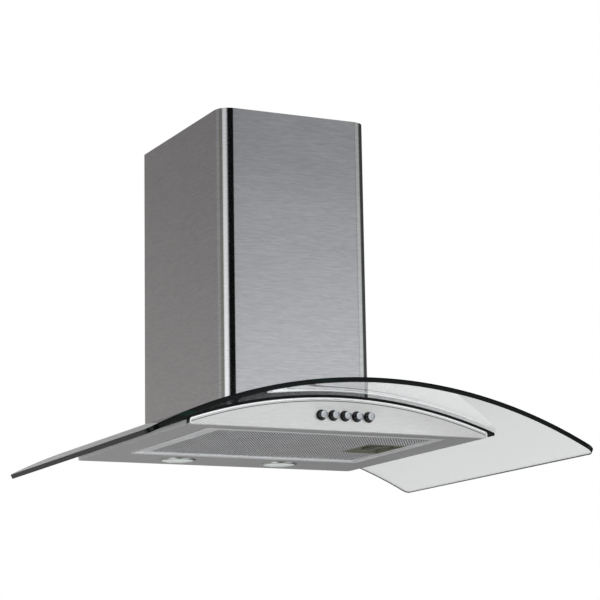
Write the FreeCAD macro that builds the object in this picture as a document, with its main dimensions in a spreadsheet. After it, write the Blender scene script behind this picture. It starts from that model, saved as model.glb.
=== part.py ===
import FreeCAD, Part
import Sketcher
import os
import re

# Curved glass range hood, millimetres. x runs to the right as seen from the room, y towards the
# wall and z up. The origin is on the wall plane, at the middle of the hood, level with its
# steel underside. Distances "from the wall" are positive and lie at negative y.

SIZES = (
    # how far a cutting shape runs past the surface that it cuts
    ("past", "1"),
    # glass canopy: a bent sheet, straight from wall to front and arched from side to side
    ("glass_width", "600"),
    ("glass_depth", "488"),
    ("glass_thickness", "6"),
    ("glass_radius", "648.5"),
    ("glass_wall_gap", "0.5"),
    ("glass_front_corner", "14"),
    ("glass_back_corner", "8"),
    # steel body under the glass
    ("body_width", "409"),
    ("body_depth", "385"),
    ("side_height", "6.893"),
    ("body_back_corner", "6"),
    ("sheet", "1.2"),
    ("seal_height", "3.5"),
    ("seal_width", "10"),
    ("seal_overhang", "11"),
    ("seal_stand", "1"),
    # front panel with its bright rim and black backing
    ("panel_depth", "8"),
    ("panel_recess", "0.6"),
    ("rim_height", "2.2"),
    ("backing_depth", "2"),
    ("backing_inset", "1.5"),
    ("panel_corner", "4"),
    # push buttons
    ("button_pitch", "16.2"),
    ("button_shift", "2.5"),
    ("button_level", "18"),
    ("button_radius", "4.9"),
    ("button_reach", "8"),
    ("button_travel", "3"),
    ("cap_margin", "0.4"),
    ("cap_height", "0.8"),
    ("stem_radius", "2"),
    ("stem_length", "7"),
    ("stem_room", "1"),
    ("running_gap", "0.3"),
    ("bezel_width", "0.8"),
    ("bezel_height", "0.6"),
    ("switch_width", "14"),
    ("switch_depth", "16"),
    ("switch_bar", "1.5"),
    # strips of the underside round the filter opening
    ("strip_left", "39.5"),
    ("strip_right", "46.5"),
    ("strip_front", "34"),
    ("opening_back", "107"),
    ("lip_wall", "1.5"),
    ("lip_height", "13"),
    ("lip_flange", "3"),
    ("lip_drop", "0.8"),
    # grease filter
    ("filter_gap", "1.5"),
    ("filter_level", "0.4"),
    ("filter_height", "9"),
    ("filter_skin", "0.8"),
    ("frame_left", "15"),
    ("frame_right", "5"),
    ("frame_front", "9"),
    ("frame_back", "4"),
    ("pleat_pitch", "8"),
    ("pleat_sheet", "0.6"),
    ("pin_radius", "1.5"),
    ("pin_fit", "0.08"),
    ("pin_inset", "2.4"),
    # latch on the free edge of the filter
    ("latch_cup_width", "54"),
    ("latch_cup_length", "80"),
    ("latch_cup_corner", "14"),
    ("latch_cup_wall", "1.6"),
    ("latch_block_width", "14"),
    ("latch_block_length", "34"),
    ("latch_setback", "20"),
    ("latch_inset", "1"),
    ("latch_rim", "3"),
    ("tongue_width", "16"),
    ("tongue_height", "2.4"),
    ("tongue_root", "2"),
    ("tongue_side_gap", "0.5"),
    # lamps in the rear strip
    ("lamp_pitch", "151"),
    ("lamp_from_wall", "47"),
    ("lamp_lens_radius", "21.4"),
    ("lamp_lens_ball", "75"),
    ("lamp_lens_drop", "3"),
    ("lamp_lens_top", "2.5"),
    ("lamp_ring_wall", "1.3"),
    ("lamp_ring_lap", "2"),
    ("lamp_ring_bevel", "1"),
    ("lamp_ring_height", "6"),
    ("lamp_cup_height", "22"),
    ("lamp_cup_sheet", "1"),
    ("lamp_cup_neck", "12"),
    ("lamp_socket_radius", "6"),
    ("bulb_radius", "4.5"),
    ("bulb_tip_radius", "2.5"),
    ("bulb_tip", "1"),
    ("bulb_shoulder", "3"),
    ("bulb_base", "2"),
    ("driver_width", "50"),
    ("driver_depth", "46"),
    ("driver_height", "18"),
    # chimney covers
    ("chimney_width", "213"),
    ("chimney_depth", "262.5"),
    ("chimney_top", "433"),
    ("chimney_corner", "19.5"),
    ("chimney_sheet", "1"),
    ("chimney_flange", "12"),
    ("chimney_gap", "0.5"),
    ("upper_foot_gap", "12"),
    ("bracket_height", "16"),
    ("bracket_sheet", "1.5"),
    ("bracket_drop", "4"),
    ("bracket_arm", "40"),
    ("bracket_hole_pitch", "140"),
    ("bracket_hole_radius", "3"),
    # blower box over the glass
    ("box_side_gap", "16.5"),
    ("box_front_gap", "14.5"),
    ("box_back", "1"),
    ("sill_rise", "16"),
    ("box_frame", "13"),
    ("airway_margin", "12"),
    ("cutout_gap", "3"),
    ("keyhole_pitch", "120"),
    ("keyhole_drop", "34"),
    ("keyhole_radius", "6"),
    ("keyhole_slot", "3"),
    ("keyhole_rise", "12"),
    ("clamp_pad_rise", "2.3"),
    ("clamp_pad_depth", "8"),
    ("clamp_height", "26"),
    ("clamp_reach", "11"),
    ("clamp_length", "180"),
    ("clamp_sheet", "2"),
    ("screw_radius", "2"),
    ("screw_head_radius", "4"),
    ("screw_head_height", "2.4"),
    ("screw_head_bevel", "1"),
    ("screw_length", "7"),
    ("screw_fit", "0.05"),
    # blower
    ("wheel_width", "74"),
    ("wheel_gap", "3"),
    ("hoop_lap", "3"),
    ("blade_depth", "10"),
    ("blade_inset", "1"),
    ("scroll_wall", "2"),
    ("scroll_outlet", "96"),
    ("scroll_room", "20"),
    ("scroll_foot_gap", "16"),
    ("scroll_back_gap", "34"),
    ("scroll_front_gap", "42"),
    ("duct_rise", "32"),
    ("inlet_lap", "2"),
    ("blade_count", "32"),
    ("blade_thickness", "1"),
    ("blade_lean", "4"),
    ("wheel_plate", "2"),
    ("hub_radius", "9"),
    ("hub_height", "12"),
    ("shaft_radius", "4"),
    ("shaft_fit", "0.05"),
    ("shaft_inside", "24"),
    ("shaft_end", "2"),
    ("motor_radius", "40"),
    ("motor_gap", "16.8"),
    ("motor_end", "6"),
    ("motor_bevel", "5"),
    ("bracket_plate", "2.5"),
    ("bracket_ring", "6"),
    ("bracket_arm_width", "12"),
    ("bracket_arm_lap", "10"),
    # outlet with its two flaps
    ("spigot_radius", "60"),
    ("spigot_wall", "2"),
    ("spigot_height", "42"),
    ("spigot_front_gap", "90"),
    ("spigot_flange_lap", "12"),
    ("flange_height", "1.5"),
    ("seat_width", "4"),
    ("seat_height", "1.5"),
    ("flap_clearance", "1.5"),
    ("flap_barrel_inset", "11.6"),
    ("flap_thickness", "1.2"),
    ("flap_offset", "4"),
    ("flap_level", "8"),
    ("flap_pin_radius", "1"),
    ("flap_barrel_wall", "1.2"),
    # electrical parts on the blower box
    ("capacitor_radius", "15"),
    ("capacitor_height", "48"),
    ("capacitor_bevel", "2"),
    ("terminal_width", "60"),
    ("terminal_depth", "50"),
    ("terminal_height", "28"),
    ("terminal_wall", "2"),
    ("electrics_from_wall", "45"),
    ("electrics_side_gap", "38"),
    ("gland_radius", "8"),
    ("gland_bore", "4"),
    ("gland_wall", "1"),
    ("gland_step", "2"),
    ("gland_reach", "12"),
)

WORKED_OUT = (
    ("glass_under", "glass_radius - glass_thickness"),
    ("seal_under", "glass_under - seal_height"),
    ("plate_under", "seal_under - sheet"),
    ("body_half", "body_width / 2"),
    ("arc_centre", "side_height - sqrt(seal_under ^ 2 - body_half ^ 2)"),
    ("glass_rise", "arc_centre + glass_radius"),
    ("casing_front", "body_depth - panel_depth - backing_depth"),
    ("button_hole", "button_radius + running_gap + bezel_width"),
    ("cap_radius", "button_radius - cap_margin"),
    ("barrel_back", "casing_front - sheet"),
    ("opening_left", "body_half - strip_left"),
    ("opening_right", "body_half - strip_right"),
    ("opening_front", "body_depth - strip_front"),
    ("filter_left", "opening_left - lip_wall - filter_gap"),
    ("filter_right", "opening_right - lip_wall - filter_gap"),
    ("filter_front", "opening_front - lip_wall - filter_gap"),
    ("filter_back", "opening_back + lip_wall + filter_gap"),
    ("filter_top", "filter_level + filter_height"),
    ("filter_middle", "(opening_front + opening_back) / 2"),
    ("opening_middle", "(opening_right - opening_left) / 2"),
    ("cup_right", "filter_right - frame_right"),
    ("cup_left", "cup_right - latch_cup_width"),
    ("latch_level", "filter_level + filter_height / 2"),
    ("lamp_hole_radius", "lamp_lens_radius + running_gap + lamp_ring_wall"),
    ("lamp_ring_radius", "lamp_hole_radius + lamp_ring_lap"),
    ("chimney_half", "chimney_width / 2"),
    ("box_half", "chimney_half - box_side_gap"),
    ("box_front", "chimney_depth - box_front_gap"),
    ("box_sill", "glass_rise + sill_rise"),
    ("wheel_radius", "(box_front - scroll_back_gap - scroll_front_gap) / 2 - scroll_room"),
    ("wheel_inner_radius", "wheel_radius - blade_depth"),
    ("inlet_radius", "wheel_inner_radius - inlet_lap"),
    ("scroll_radius", "wheel_radius + scroll_room"),
    ("scroll_half", "wheel_width / 2 + wheel_gap + scroll_wall"),
    ("fan_from_wall", "scroll_back_gap + scroll_radius"),
    ("fan_level", "glass_rise + scroll_foot_gap + scroll_radius"),
    ("box_top", "fan_level + scroll_radius + duct_rise"),
    ("keyhole_level", "box_top - keyhole_drop"),
    ("clamp_level", "arc_centre + sqrt(glass_radius ^ 2 - box_half ^ 2) + clamp_pad_rise"),
    ("chimney_inside", "chimney_half - chimney_sheet"),
    ("upper_half", "chimney_inside - chimney_gap"),
    ("upper_front", "chimney_depth - chimney_sheet - chimney_gap"),
    ("upper_back", "chimney_sheet + chimney_gap"),
    ("upper_foot", "glass_rise + upper_foot_gap"),
    ("cover_foot", "arc_centre + sqrt(glass_under ^ 2 - chimney_half ^ 2)"),
    ("box_foot", "arc_centre + sqrt(plate_under ^ 2 - box_half ^ 2)"),
    ("pleat_count", "floor((filter_left + filter_right - 2 * filter_skin) / pleat_pitch)"),
    ("duct_front", "fan_from_wall + scroll_radius"),
    ("motor_front", "box_half - sheet - motor_gap"),
    ("bracket_arm_reach", "inlet_radius + bracket_arm_lap"),
    ("flap_pin_level", "box_top + flap_level"),
    ("spigot_inside", "spigot_radius - spigot_wall"),
    ("spigot_flange", "spigot_radius + spigot_flange_lap"),
    ("spigot_from_wall", "box_front - spigot_front_gap"),
    ("seat_top", "flap_level - flap_thickness / 2 - running_gap"),
    ("electrics_offset", "box_half - electrics_side_gap"),
)

NAMES = {name for name, text in SIZES + WORKED_OUT}
FORWARD = FreeCAD.Rotation(FreeCAD.Vector(1, 0, 0), 90)
SIDEWAYS = FreeCAD.Rotation(FreeCAD.Vector(0, 1, 0), 90)
SIDES = (("left", "-1"), ("right", "1"))
SIGNS = ("-1", "1")
# height at which an arched section is first drawn, before its constraints place it
ROUGH_DROP = 30

doc = FreeCAD.newDocument("range_hood")
sheet = doc.addObject("Spreadsheet::Sheet", "Sizes")
pieces = []


def fill_sheet():
    """Write the driving sizes, then the ones worked out from them."""
    for row, (name, text) in enumerate(SIZES, 1):
        sheet.set("A%d" % row, name)
        sheet.set("B%d" % row, text)
        sheet.setAlias("B%d" % row, name)
    for row, (name, text) in enumerate(WORKED_OUT, len(SIZES) + 1):
        sheet.set("A%d" % row, name)
        sheet.set("B%d" % row, "=" + text)
        sheet.setAlias("B%d" % row, name)
    doc.recompute()


def size(name):
    return float(sheet.get(name))


def bind(item, path, text):
    """Tie one property to a formula written with the sheet's names."""
    full = re.sub(r"[a-z_]+", lambda found: "Sizes." + found[0] if found[0] in NAMES else found[0], text)
    item.setExpression(path, full)


def put(item, x="0", y="0", z="0", turn=None):
    """Turn an item, then tie its place to the sheet."""
    if turn is not None:
        item.Placement = FreeCAD.Placement(FreeCAD.Vector(), turn)
    for axis, text in (("x", x), ("y", y), ("z", z)):
        bind(item, ".Placement.Base." + axis, text)
    return item


def piece(item, label):
    """Name a finished piece and keep it for the files."""
    item.Label = label
    pieces.append(item)
    return item


def block(name, x, y, z, width, depth, height):
    """A box from its lowest corner."""
    item = doc.addObject("Part::Box", name)
    bind(item, "Length", width)
    bind(item, "Width", depth)
    bind(item, "Height", height)
    return put(item, x, y, z)


def rod(name, radius, length, x="0", y="0", z="0", turn=None):
    """A round bar that starts at a point and runs up, forward or sideways."""
    item = doc.addObject("Part::Cylinder", name)
    bind(item, "Radius", radius)
    bind(item, "Height", length)
    return put(item, x, y, z, turn)


def joined(name, items):
    item = doc.addObject("Part::MultiFuse", name)
    item.Shapes = items
    return item


def shared(name, items):
    item = doc.addObject("Part::MultiCommon", name)
    item.Shapes = items
    return item


def group(name, items):
    item = doc.addObject("Part::Compound", name)
    item.Links = items
    return item


def without(name, base, tools):
    """The base with one or more shapes cut away."""
    item = doc.addObject("Part::Cut", name)
    item.Base = base
    item.Tool = tools[0] if len(tools) == 1 else joined(name + "_tools", tools)
    return item


def new_body(name):
    return doc.addObject("PartDesign::Body", name)


def new_sketch(body, name, role, start="0"):
    """A sketch on one of the body's own planes, moved along that plane's normal."""
    sketch = body.newObject("Sketcher::SketchObject", name)
    planes = [plane for plane in body.Origin.OriginFeatures if plane.Role == role]
    sketch.AttachmentSupport = [(planes[0], "")]
    sketch.MapMode = "FlatFace"
    bind(sketch, ".AttachmentOffset.Base.z", start)
    return sketch


def fix_point(sketch, line, end, across, up=None):
    """Hold one point of the sketch at sizes from the sheet."""
    for kind, text in (("DistanceX", across), ("DistanceY", up)):
        if text is not None:
            index = sketch.addConstraint(Sketcher.Constraint(kind, -1, 1, line, end, 1.0))
            bind(sketch, "Constraints[%d]" % index, text)


def outline(sketch, corners):
    """A closed outline of straight lines through the given corners."""
    count = len(corners)
    first = sketch.GeometryCount
    spread = [FreeCAD.Vector(10 * (n % 3) + n, 7 * n, 0) for n in range(count)]
    for n in range(count):
        sketch.addGeometry(Part.LineSegment(spread[n], spread[(n + 1) % count]), False)
    for n in range(count):
        following = first + (n + 1) % count
        sketch.addConstraint(Sketcher.Constraint("Coincident", first + n, 2, following, 1))
    for n, (across, up) in enumerate(corners):
        fix_point(sketch, first + n, 1, across, up)


def rectangle(sketch, left, right, low, high):
    outline(sketch, [(left, low), (right, low), (right, high), (left, high)])


def circle(sketch, radius, across, up):
    index = sketch.addGeometry(Part.Circle(FreeCAD.Vector(1, 1, 0), FreeCAD.Vector(0, 0, 1), 5), False)
    rule = sketch.addConstraint(Sketcher.Constraint("Radius", index, 5.0))
    bind(sketch, "Constraints[%d]" % rule, radius)
    fix_point(sketch, index, 3, across, up)


def arc(sketch, radius, half):
    """An arc about the canopy's bending axis that ends at plus and minus the half width."""
    bow = Part.Circle(FreeCAD.Vector(0, -600, 0), FreeCAD.Vector(0, 0, 1), 640)
    index = sketch.addGeometry(Part.ArcOfCircle(bow, 1.2, 1.94), False)
    rule = sketch.addConstraint(Sketcher.Constraint("Radius", index, 640.0))
    bind(sketch, "Constraints[%d]" % rule, radius)
    fix_point(sketch, index, 3, "0", "arc_centre")
    fix_point(sketch, index, 1, half)
    fix_point(sketch, index, 2, "-(%s)" % half)
    return index


def join_line(sketch, first, first_end, second, second_end):
    """A straight line from one curve's end to another's."""
    start = sketch.getPoint(first, first_end)
    finish = sketch.getPoint(second, second_end)
    index = sketch.addGeometry(Part.LineSegment(start, finish), False)
    sketch.addConstraint(Sketcher.Constraint("Coincident", first, first_end, index, 1))
    sketch.addConstraint(Sketcher.Constraint("Coincident", second, second_end, index, 2))
    return index


def band(body, name, outer, inner, half, start, inner_half=None):
    """The section of a bent sheet between two radii."""
    sketch = new_sketch(body, name, "XZ_Plane", start)
    over = arc(sketch, outer, half)
    under = arc(sketch, inner, inner_half or half)
    join_line(sketch, over, 1, under, 1)
    join_line(sketch, over, 2, under, 2)
    return sketch


def arch(body, name, radius, half, floor, start):
    """A flat-bottomed section with upright ends and an arched top."""
    sketch = new_sketch(body, name, "XZ_Plane", start)
    top = arc(sketch, radius, half)
    right_top = sketch.getPoint(top, 1)
    left_top = sketch.getPoint(top, 2)
    right_low = right_top - FreeCAD.Vector(0, ROUGH_DROP, 0)
    left_low = left_top - FreeCAD.Vector(0, ROUGH_DROP, 0)
    right = sketch.addGeometry(Part.LineSegment(right_top, right_low), False)
    base = sketch.addGeometry(Part.LineSegment(right_low, left_low), False)
    left = sketch.addGeometry(Part.LineSegment(left_low, left_top), False)
    for first, first_end, second, second_end in (
        (top, 1, right, 1),
        (right, 2, base, 1),
        (base, 2, left, 1),
        (left, 2, top, 2),
    ):
        sketch.addConstraint(Sketcher.Constraint("Coincident", first, first_end, second, second_end))
    fix_point(sketch, base, 1, half, floor)
    fix_point(sketch, base, 2, "-(%s)" % half, floor)
    return sketch


def pad(body, sketch, length, midplane=False):
    feature = body.newObject("PartDesign::Pad", sketch.Name + "_pad")
    feature.Profile = sketch
    feature.Midplane = midplane
    bind(feature, "Length", length)
    sketch.Visibility = False
    body.Tip = feature
    return feature


def pocket(body, sketch, length):
    """Cut along the sketch plane's normal, to the length given."""
    feature = body.newObject("PartDesign::Pocket", sketch.Name + "_pocket")
    feature.Profile = sketch
    feature.Reversed = True
    bind(feature, "Length", length)
    sketch.Visibility = False
    body.Tip = feature
    return feature


def revolve(body, sketch):
    feature = body.newObject("PartDesign::Revolution", sketch.Name + "_turn")
    feature.Profile = sketch
    feature.ReferenceAxis = (sketch, ["V_Axis"])
    feature.Angle = 360
    sketch.Visibility = False
    body.Tip = feature
    return feature


def turned(label, corners, x="0", y="0", z="0", turn=None):
    """A turned piece: its half section is given as radius and height."""
    body = new_body(label)
    sketch = new_sketch(body, label + "_section", "XZ_Plane")
    outline(sketch, corners)
    revolve(body, sketch)
    return put(body, x, y, z, turn)


def fillet(body, base, radius, chosen):
    """Round the edges of a feature that a test picks."""
    doc.recompute()
    names = ["Edge%d" % n for n, edge in enumerate(base.Shape.Edges, 1) if chosen(edge)]
    feature = body.newObject("PartDesign::Fillet", base.Name + "_round")
    feature.Base = (base, names)
    bind(feature, "Radius", radius)
    body.Tip = feature
    return feature


def glass_canopy():
    body = new_body("glass_canopy")
    half = "glass_width / 2"
    section = band(body, "glass_section", "glass_radius", "glass_under", half, "glass_wall_gap",
                   "glass_width / 2 * glass_under / glass_radius")
    sheet_of_glass = pad(body, section, "glass_depth")
    hole = new_sketch(body, "glass_cutout", "XY_Plane")
    rectangle(hole, "-box_half - cutout_gap", "box_half + cutout_gap",
              "-box_front - cutout_gap", "-box_back + cutout_gap")
    cut = pocket(body, hole, "glass_rise + past")
    end = size("glass_width") / 2 - size("glass_thickness")
    middle = -size("glass_depth") / 2

    def at_corner(edge, front):
        point = edge.CenterOfMass
        across = edge.Length < 1.1 * size("glass_thickness") and abs(point.x) > end
        return across and (point.y < middle) == front

    rounded = fillet(body, cut, "glass_front_corner", lambda edge: at_corner(edge, True))
    fillet(body, rounded, "glass_back_corner", lambda edge: at_corner(edge, False))
    piece(body, "glass_canopy")


def glass_seal():
    """Black gasket between the steel body and the glass, wider than the body at both ends."""
    body = new_body("glass_seal")
    section = band(body, "seal_section", "glass_under", "seal_under",
                   "body_half + seal_overhang", "glass_wall_gap")
    pad(body, section, "body_depth - glass_wall_gap - panel_recess")
    window = new_sketch(body, "seal_window", "XY_Plane", "-glass_rise")
    rectangle(window, "-body_half + seal_width", "body_half - seal_width",
              "-casing_front + seal_width", "-seal_width")
    pocket(body, window, "2 * glass_rise")
    notch = new_sketch(body, "seal_notch", "XY_Plane")
    rectangle(notch, "-box_half - cutout_gap", "box_half + cutout_gap", "-seal_width - past", "0")
    pocket(body, notch, "glass_rise")
    piece(body, "glass_seal")


def cutout_seal():
    """Gasket that lines the notch in the glass round the blower box, open at the wall."""
    body = new_body("cutout_seal")
    section = band(body, "cutout_seal_section", "glass_radius + seal_stand", "seal_under",
                   "box_half + cutout_gap", "box_back")
    pad(body, section, "box_front - box_back + cutout_gap")
    window = new_sketch(body, "cutout_seal_window", "XY_Plane")
    rectangle(window, "-box_half", "box_half", "-box_front", "-box_back + past")
    pocket(body, window, "glass_rise + seal_stand + past")
    piece(body, "cutout_seal")


def top_plate():
    """Arched steel sheet that closes the body under the glass, with the airway to the blower."""
    body = new_body("top_plate")
    section = band(body, "top_plate_section", "seal_under", "plate_under", "body_half", "0")
    pad(body, section, "casing_front")
    airway = new_sketch(body, "airway", "XY_Plane")
    rectangle(airway, "-box_half + airway_margin", "box_half - airway_margin",
              "-box_front + airway_margin", "-box_back - airway_margin")
    pocket(body, airway, "glass_rise")
    piece(body, "top_plate")


def casing():
    """Folded steel pan: underside, side walls, back wall and a low front wall."""
    body = new_body("casing")
    outside = pad(body, arch(body, "casing_outside", "plate_under", "body_half", "0", "0"), "casing_front")

    def at_back_corner(edge):
        upright = abs(edge.tangentAt(edge.FirstParameter).z) > 0.99
        return upright and edge.CenterOfMass.y > -1 and abs(edge.CenterOfMass.x) > size("body_half") - 1

    fillet(body, outside, "body_back_corner", at_back_corner)
    inside = arch(body, "casing_inside", "plate_under + 5 * past", "body_half - sheet", "sheet", "sheet")
    pocket(body, inside, "casing_front - 2 * sheet")
    holes = new_sketch(body, "underside_holes", "XY_Plane")
    rectangle(holes, "-opening_left", "opening_right", "-opening_front", "-opening_back")
    for side in SIGNS:
        circle(holes, "lamp_hole_radius", "opening_middle + %s * lamp_pitch / 2" % side, "-lamp_from_wall")
    pocket(body, holes, "sheet")
    slot = new_sketch(body, "button_slot", "XZ_Plane", "casing_front - sheet")
    rectangle(slot, "button_shift - 2.5 * button_pitch", "button_shift + 2.5 * button_pitch",
              "button_level - button_hole", "button_level + button_hole")
    pocket(body, slot, "sheet")
    piece(body, "casing")


def button_places():
    """Sideways places of the five buttons."""
    return ["button_shift + (%d) * button_pitch" % step for step in (-2, -1, 0, 1, 2)]


def panel_holes(body, name, radius, start, length):
    holes = new_sketch(body, name, "XZ_Plane", start)
    for place in button_places():
        circle(holes, radius, place, "button_level")
    pocket(body, holes, length)


def top_end(edge):
    """Edges from wall to front at the ends of an arched section."""
    along = abs(edge.tangentAt(edge.FirstParameter).y) > 0.99
    return along and edge.CenterOfMass.z > 1


def front_panel():
    """Brushed steel tray that carries the buttons, inside a bright rim."""
    body = new_body("control_panel")
    tray = arch(body, "panel_outside", "seal_under - rim_height", "body_half - rim_height", "0",
                "body_depth - panel_depth")
    outside = pad(body, tray, "panel_depth - panel_recess")
    fillet(body, outside, "panel_corner - rim_height / 2", top_end)
    hollow = arch(body, "panel_inside", "seal_under - rim_height - sheet",
                  "body_half - rim_height - sheet - panel_corner", "sheet", "body_depth - panel_depth")
    pocket(body, hollow, "panel_depth - panel_recess - sheet")
    panel_holes(body, "panel_holes", "button_hole", "body_depth - panel_depth", "panel_depth")
    piece(body, "control_panel")

    rim = new_body("rim_solid")
    strip = arch(rim, "rim_outside", "seal_under", "body_half", "0", "body_depth - panel_depth")
    solid = pad(rim, strip, "panel_depth")
    fillet(rim, solid, "panel_corner", top_end)
    filled = new_body("rim_filling")
    inner = arch(filled, "rim_inside", "seal_under - rim_height", "body_half - rim_height", "-past",
                 "body_depth - panel_depth - past")
    plug = pad(filled, inner, "panel_depth + 2 * past")
    fillet(filled, plug, "panel_corner - rim_height / 2", top_end)
    piece(without("panel_rim", rim, [filled]), "panel_rim")

    backing = new_body("panel_backing")
    flat = arch(backing, "backing_outline", "seal_under - backing_inset", "body_half - backing_inset",
                "backing_inset", "casing_front")
    pad(backing, flat, "backing_depth")
    panel_holes(backing, "backing_holes", "button_radius + running_gap", "casing_front", "backing_depth")
    piece(backing, "panel_backing")


def buttons():
    """Five push buttons with metal caps, their collars and the switches behind them."""
    collars = []
    switches = []
    for number, place in enumerate(button_places(), 1):
        barrel_length = "body_depth + button_reach - barrel_back - running_gap"
        button = turned("button_%d" % number, [
            ("0", "-stem_length"),
            ("stem_radius", "-stem_length"),
            ("stem_radius", "0"),
            ("button_radius", "0"),
            ("button_radius", barrel_length),
            ("0", barrel_length),
        ], place, "-barrel_back - running_gap", "button_level", FORWARD)
        piece(button, "button_%d" % number)
        cap = rod("button_cap_%d" % number, "cap_radius", "cap_height", place,
                  "-body_depth - button_reach", "button_level", FORWARD)
        piece(cap, "button_cap_%d" % number)
        collars.append(turned("collar_%d" % number, [
            ("button_radius + running_gap", "-panel_depth + panel_recess"),
            ("button_hole", "-panel_depth + panel_recess"),
            ("button_hole", "0"),
            ("button_hole + bezel_width", "0"),
            ("button_hole + bezel_width", "bezel_height / 2"),
            ("button_hole", "bezel_height"),
            ("button_radius + running_gap", "bezel_height"),
        ], place, "-body_depth + panel_recess", "button_level", FORWARD))
        housing = block("switch_housing_%d" % number, "%s - switch_width / 2" % place,
                        "-barrel_back + button_travel + running_gap", "button_level - switch_width / 2",
                        "switch_width", "switch_depth", "switch_width")
        bore = rod("switch_bore_%d" % number, "stem_radius + running_gap",
                   "switch_depth", place,
                   "-barrel_back + stem_length + button_travel + stem_room", "button_level", FORWARD)
        switches.append(without("switch_%d" % number, housing, [bore]))
    piece(group("button_collars", collars), "button_collars")
    piece(group("switch_modules", switches), "switch_modules")
    shelf = block("switch_shelf", "button_shift - 2.5 * button_pitch", "-barrel_back",
                  "button_level - switch_width / 2 - switch_bar", "5 * button_pitch",
                  "button_travel + running_gap + switch_depth", "switch_bar")
    foot = block("switch_foot", "button_shift - 2.5 * button_pitch", "-barrel_back", "sheet",
                 "5 * button_pitch", "switch_bar", "button_level - switch_width / 2 - switch_bar - sheet")
    piece(joined("switch_bracket", [shelf, foot]), "switch_bracket")


def filter_lip():
    """Bright folded lip that lines the filter opening and carries the filter's pivots."""
    body = new_body("filter_lip")
    flange = new_sketch(body, "lip_flange_outline", "XY_Plane", "-lip_drop")
    rectangle(flange, "-opening_left - lip_flange", "opening_right + lip_flange",
              "-opening_front - lip_flange", "-opening_back + lip_flange")
    pad(body, flange, "lip_drop")
    collar = new_sketch(body, "lip_collar_outline", "XY_Plane")
    rectangle(collar, "-opening_left", "opening_right", "-opening_front", "-opening_back")
    pad(body, collar, "lip_height")
    window = new_sketch(body, "lip_window", "XY_Plane", "-lip_drop")
    rectangle(window, "-opening_left + lip_wall", "opening_right - lip_wall",
              "-opening_front + lip_wall", "-opening_back - lip_wall")
    pocket(body, window, "lip_height + lip_drop + past")
    bore = new_sketch(body, "lip_bores", "XZ_Plane", "opening_back - past")
    circle(bore, "pin_radius + pin_fit", "-filter_left + pin_inset", "filter_level + pin_inset")
    pocket(body, bore, "opening_front - opening_back + 2 * past")
    piece(body, "filter_lip")


def rounded_block(name, left, right, front, back, corner, floor, height, chosen):
    """An upright block from distances to the wall, with the picked upright edges rounded."""
    body = new_body(name)
    plan = new_sketch(body, name + "_plan", "XY_Plane", floor)
    rectangle(plan, left, right, "-(%s)" % front, "-(%s)" % back)
    solid = pad(body, plan, height)

    def at_corner(edge):
        return abs(edge.tangentAt(edge.FirstParameter).z) > 0.99 and chosen(edge)

    fillet(body, solid, corner, at_corner)
    return body


def latch_cup_block(name, grow, floor, height):
    """The plan of the latch cup, drawn in by a wall and rounded on its inner side."""
    length = "(latch_cup_length / 2 - %s)" % grow
    middle = size("cup_right") - size("latch_cup_width") / 2
    return rounded_block(name, "cup_left + %s" % grow, "cup_right - %s" % grow,
                         "filter_middle + " + length, "filter_middle - " + length,
                         "latch_cup_corner - %s" % grow, floor, height,
                         lambda edge: edge.CenterOfMass.x < middle)


def make_room(name, layer):
    """Leave a space for the latch cup in one layer of the filter's filling."""
    room = latch_cup_block(name + "_room", "0", "filter_level - past", "filter_height + 2 * past")
    piece(without(name, layer, [room]), name)


def filter_mesh(name, floor):
    """A flat sheet of expanded metal inside the folded frame."""
    layer = block(name + "_sheet", "-filter_left + filter_skin", "-filter_front + filter_skin", floor,
                  "filter_left + filter_right - 2 * filter_skin",
                  "filter_front - filter_back - 2 * filter_skin", "filter_skin")
    make_room(name, layer)


def filter_core():
    """Pleated foil between the two meshes: one pleat, repeated across the filter."""
    body = new_body("pleated_foil")
    section = new_sketch(body, "pleat", "XZ_Plane", "filter_back + filter_skin")
    low = "filter_level + 2 * filter_skin"
    high = "filter_top - 2 * filter_skin - pleat_sheet"
    start = "-filter_left + filter_skin"
    outline(section, [
        (start, low),
        (start + " + pleat_pitch / 2", high),
        (start + " + pleat_pitch", low),
        (start + " + pleat_pitch", low + " + pleat_sheet"),
        (start + " + pleat_pitch / 2", high + " + pleat_sheet"),
        (start, low + " + pleat_sheet"),
    ])
    pleat = pad(body, section, "filter_front - filter_back - 2 * filter_skin")
    row = body.newObject("PartDesign::LinearPattern", "pleat_row")
    row.Originals = [pleat]
    row.Direction = (section, ["H_Axis"])
    bind(row, "Length", "pleat_pitch * (pleat_count - 1)")
    bind(row, "Occurrences", "pleat_count")
    body.Tip = row
    make_room("filter_core", body)


def tongue_slot(name, start, length):
    """Room for the latch tongue through one wall, starting at a place across the filter."""
    return block(name, start, "-filter_middle - tongue_width / 2 - tongue_side_gap",
                 "latch_level - tongue_height / 2 - running_gap", length,
                 "tongue_width + 2 * tongue_side_gap", "tongue_height + 2 * running_gap")


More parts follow.
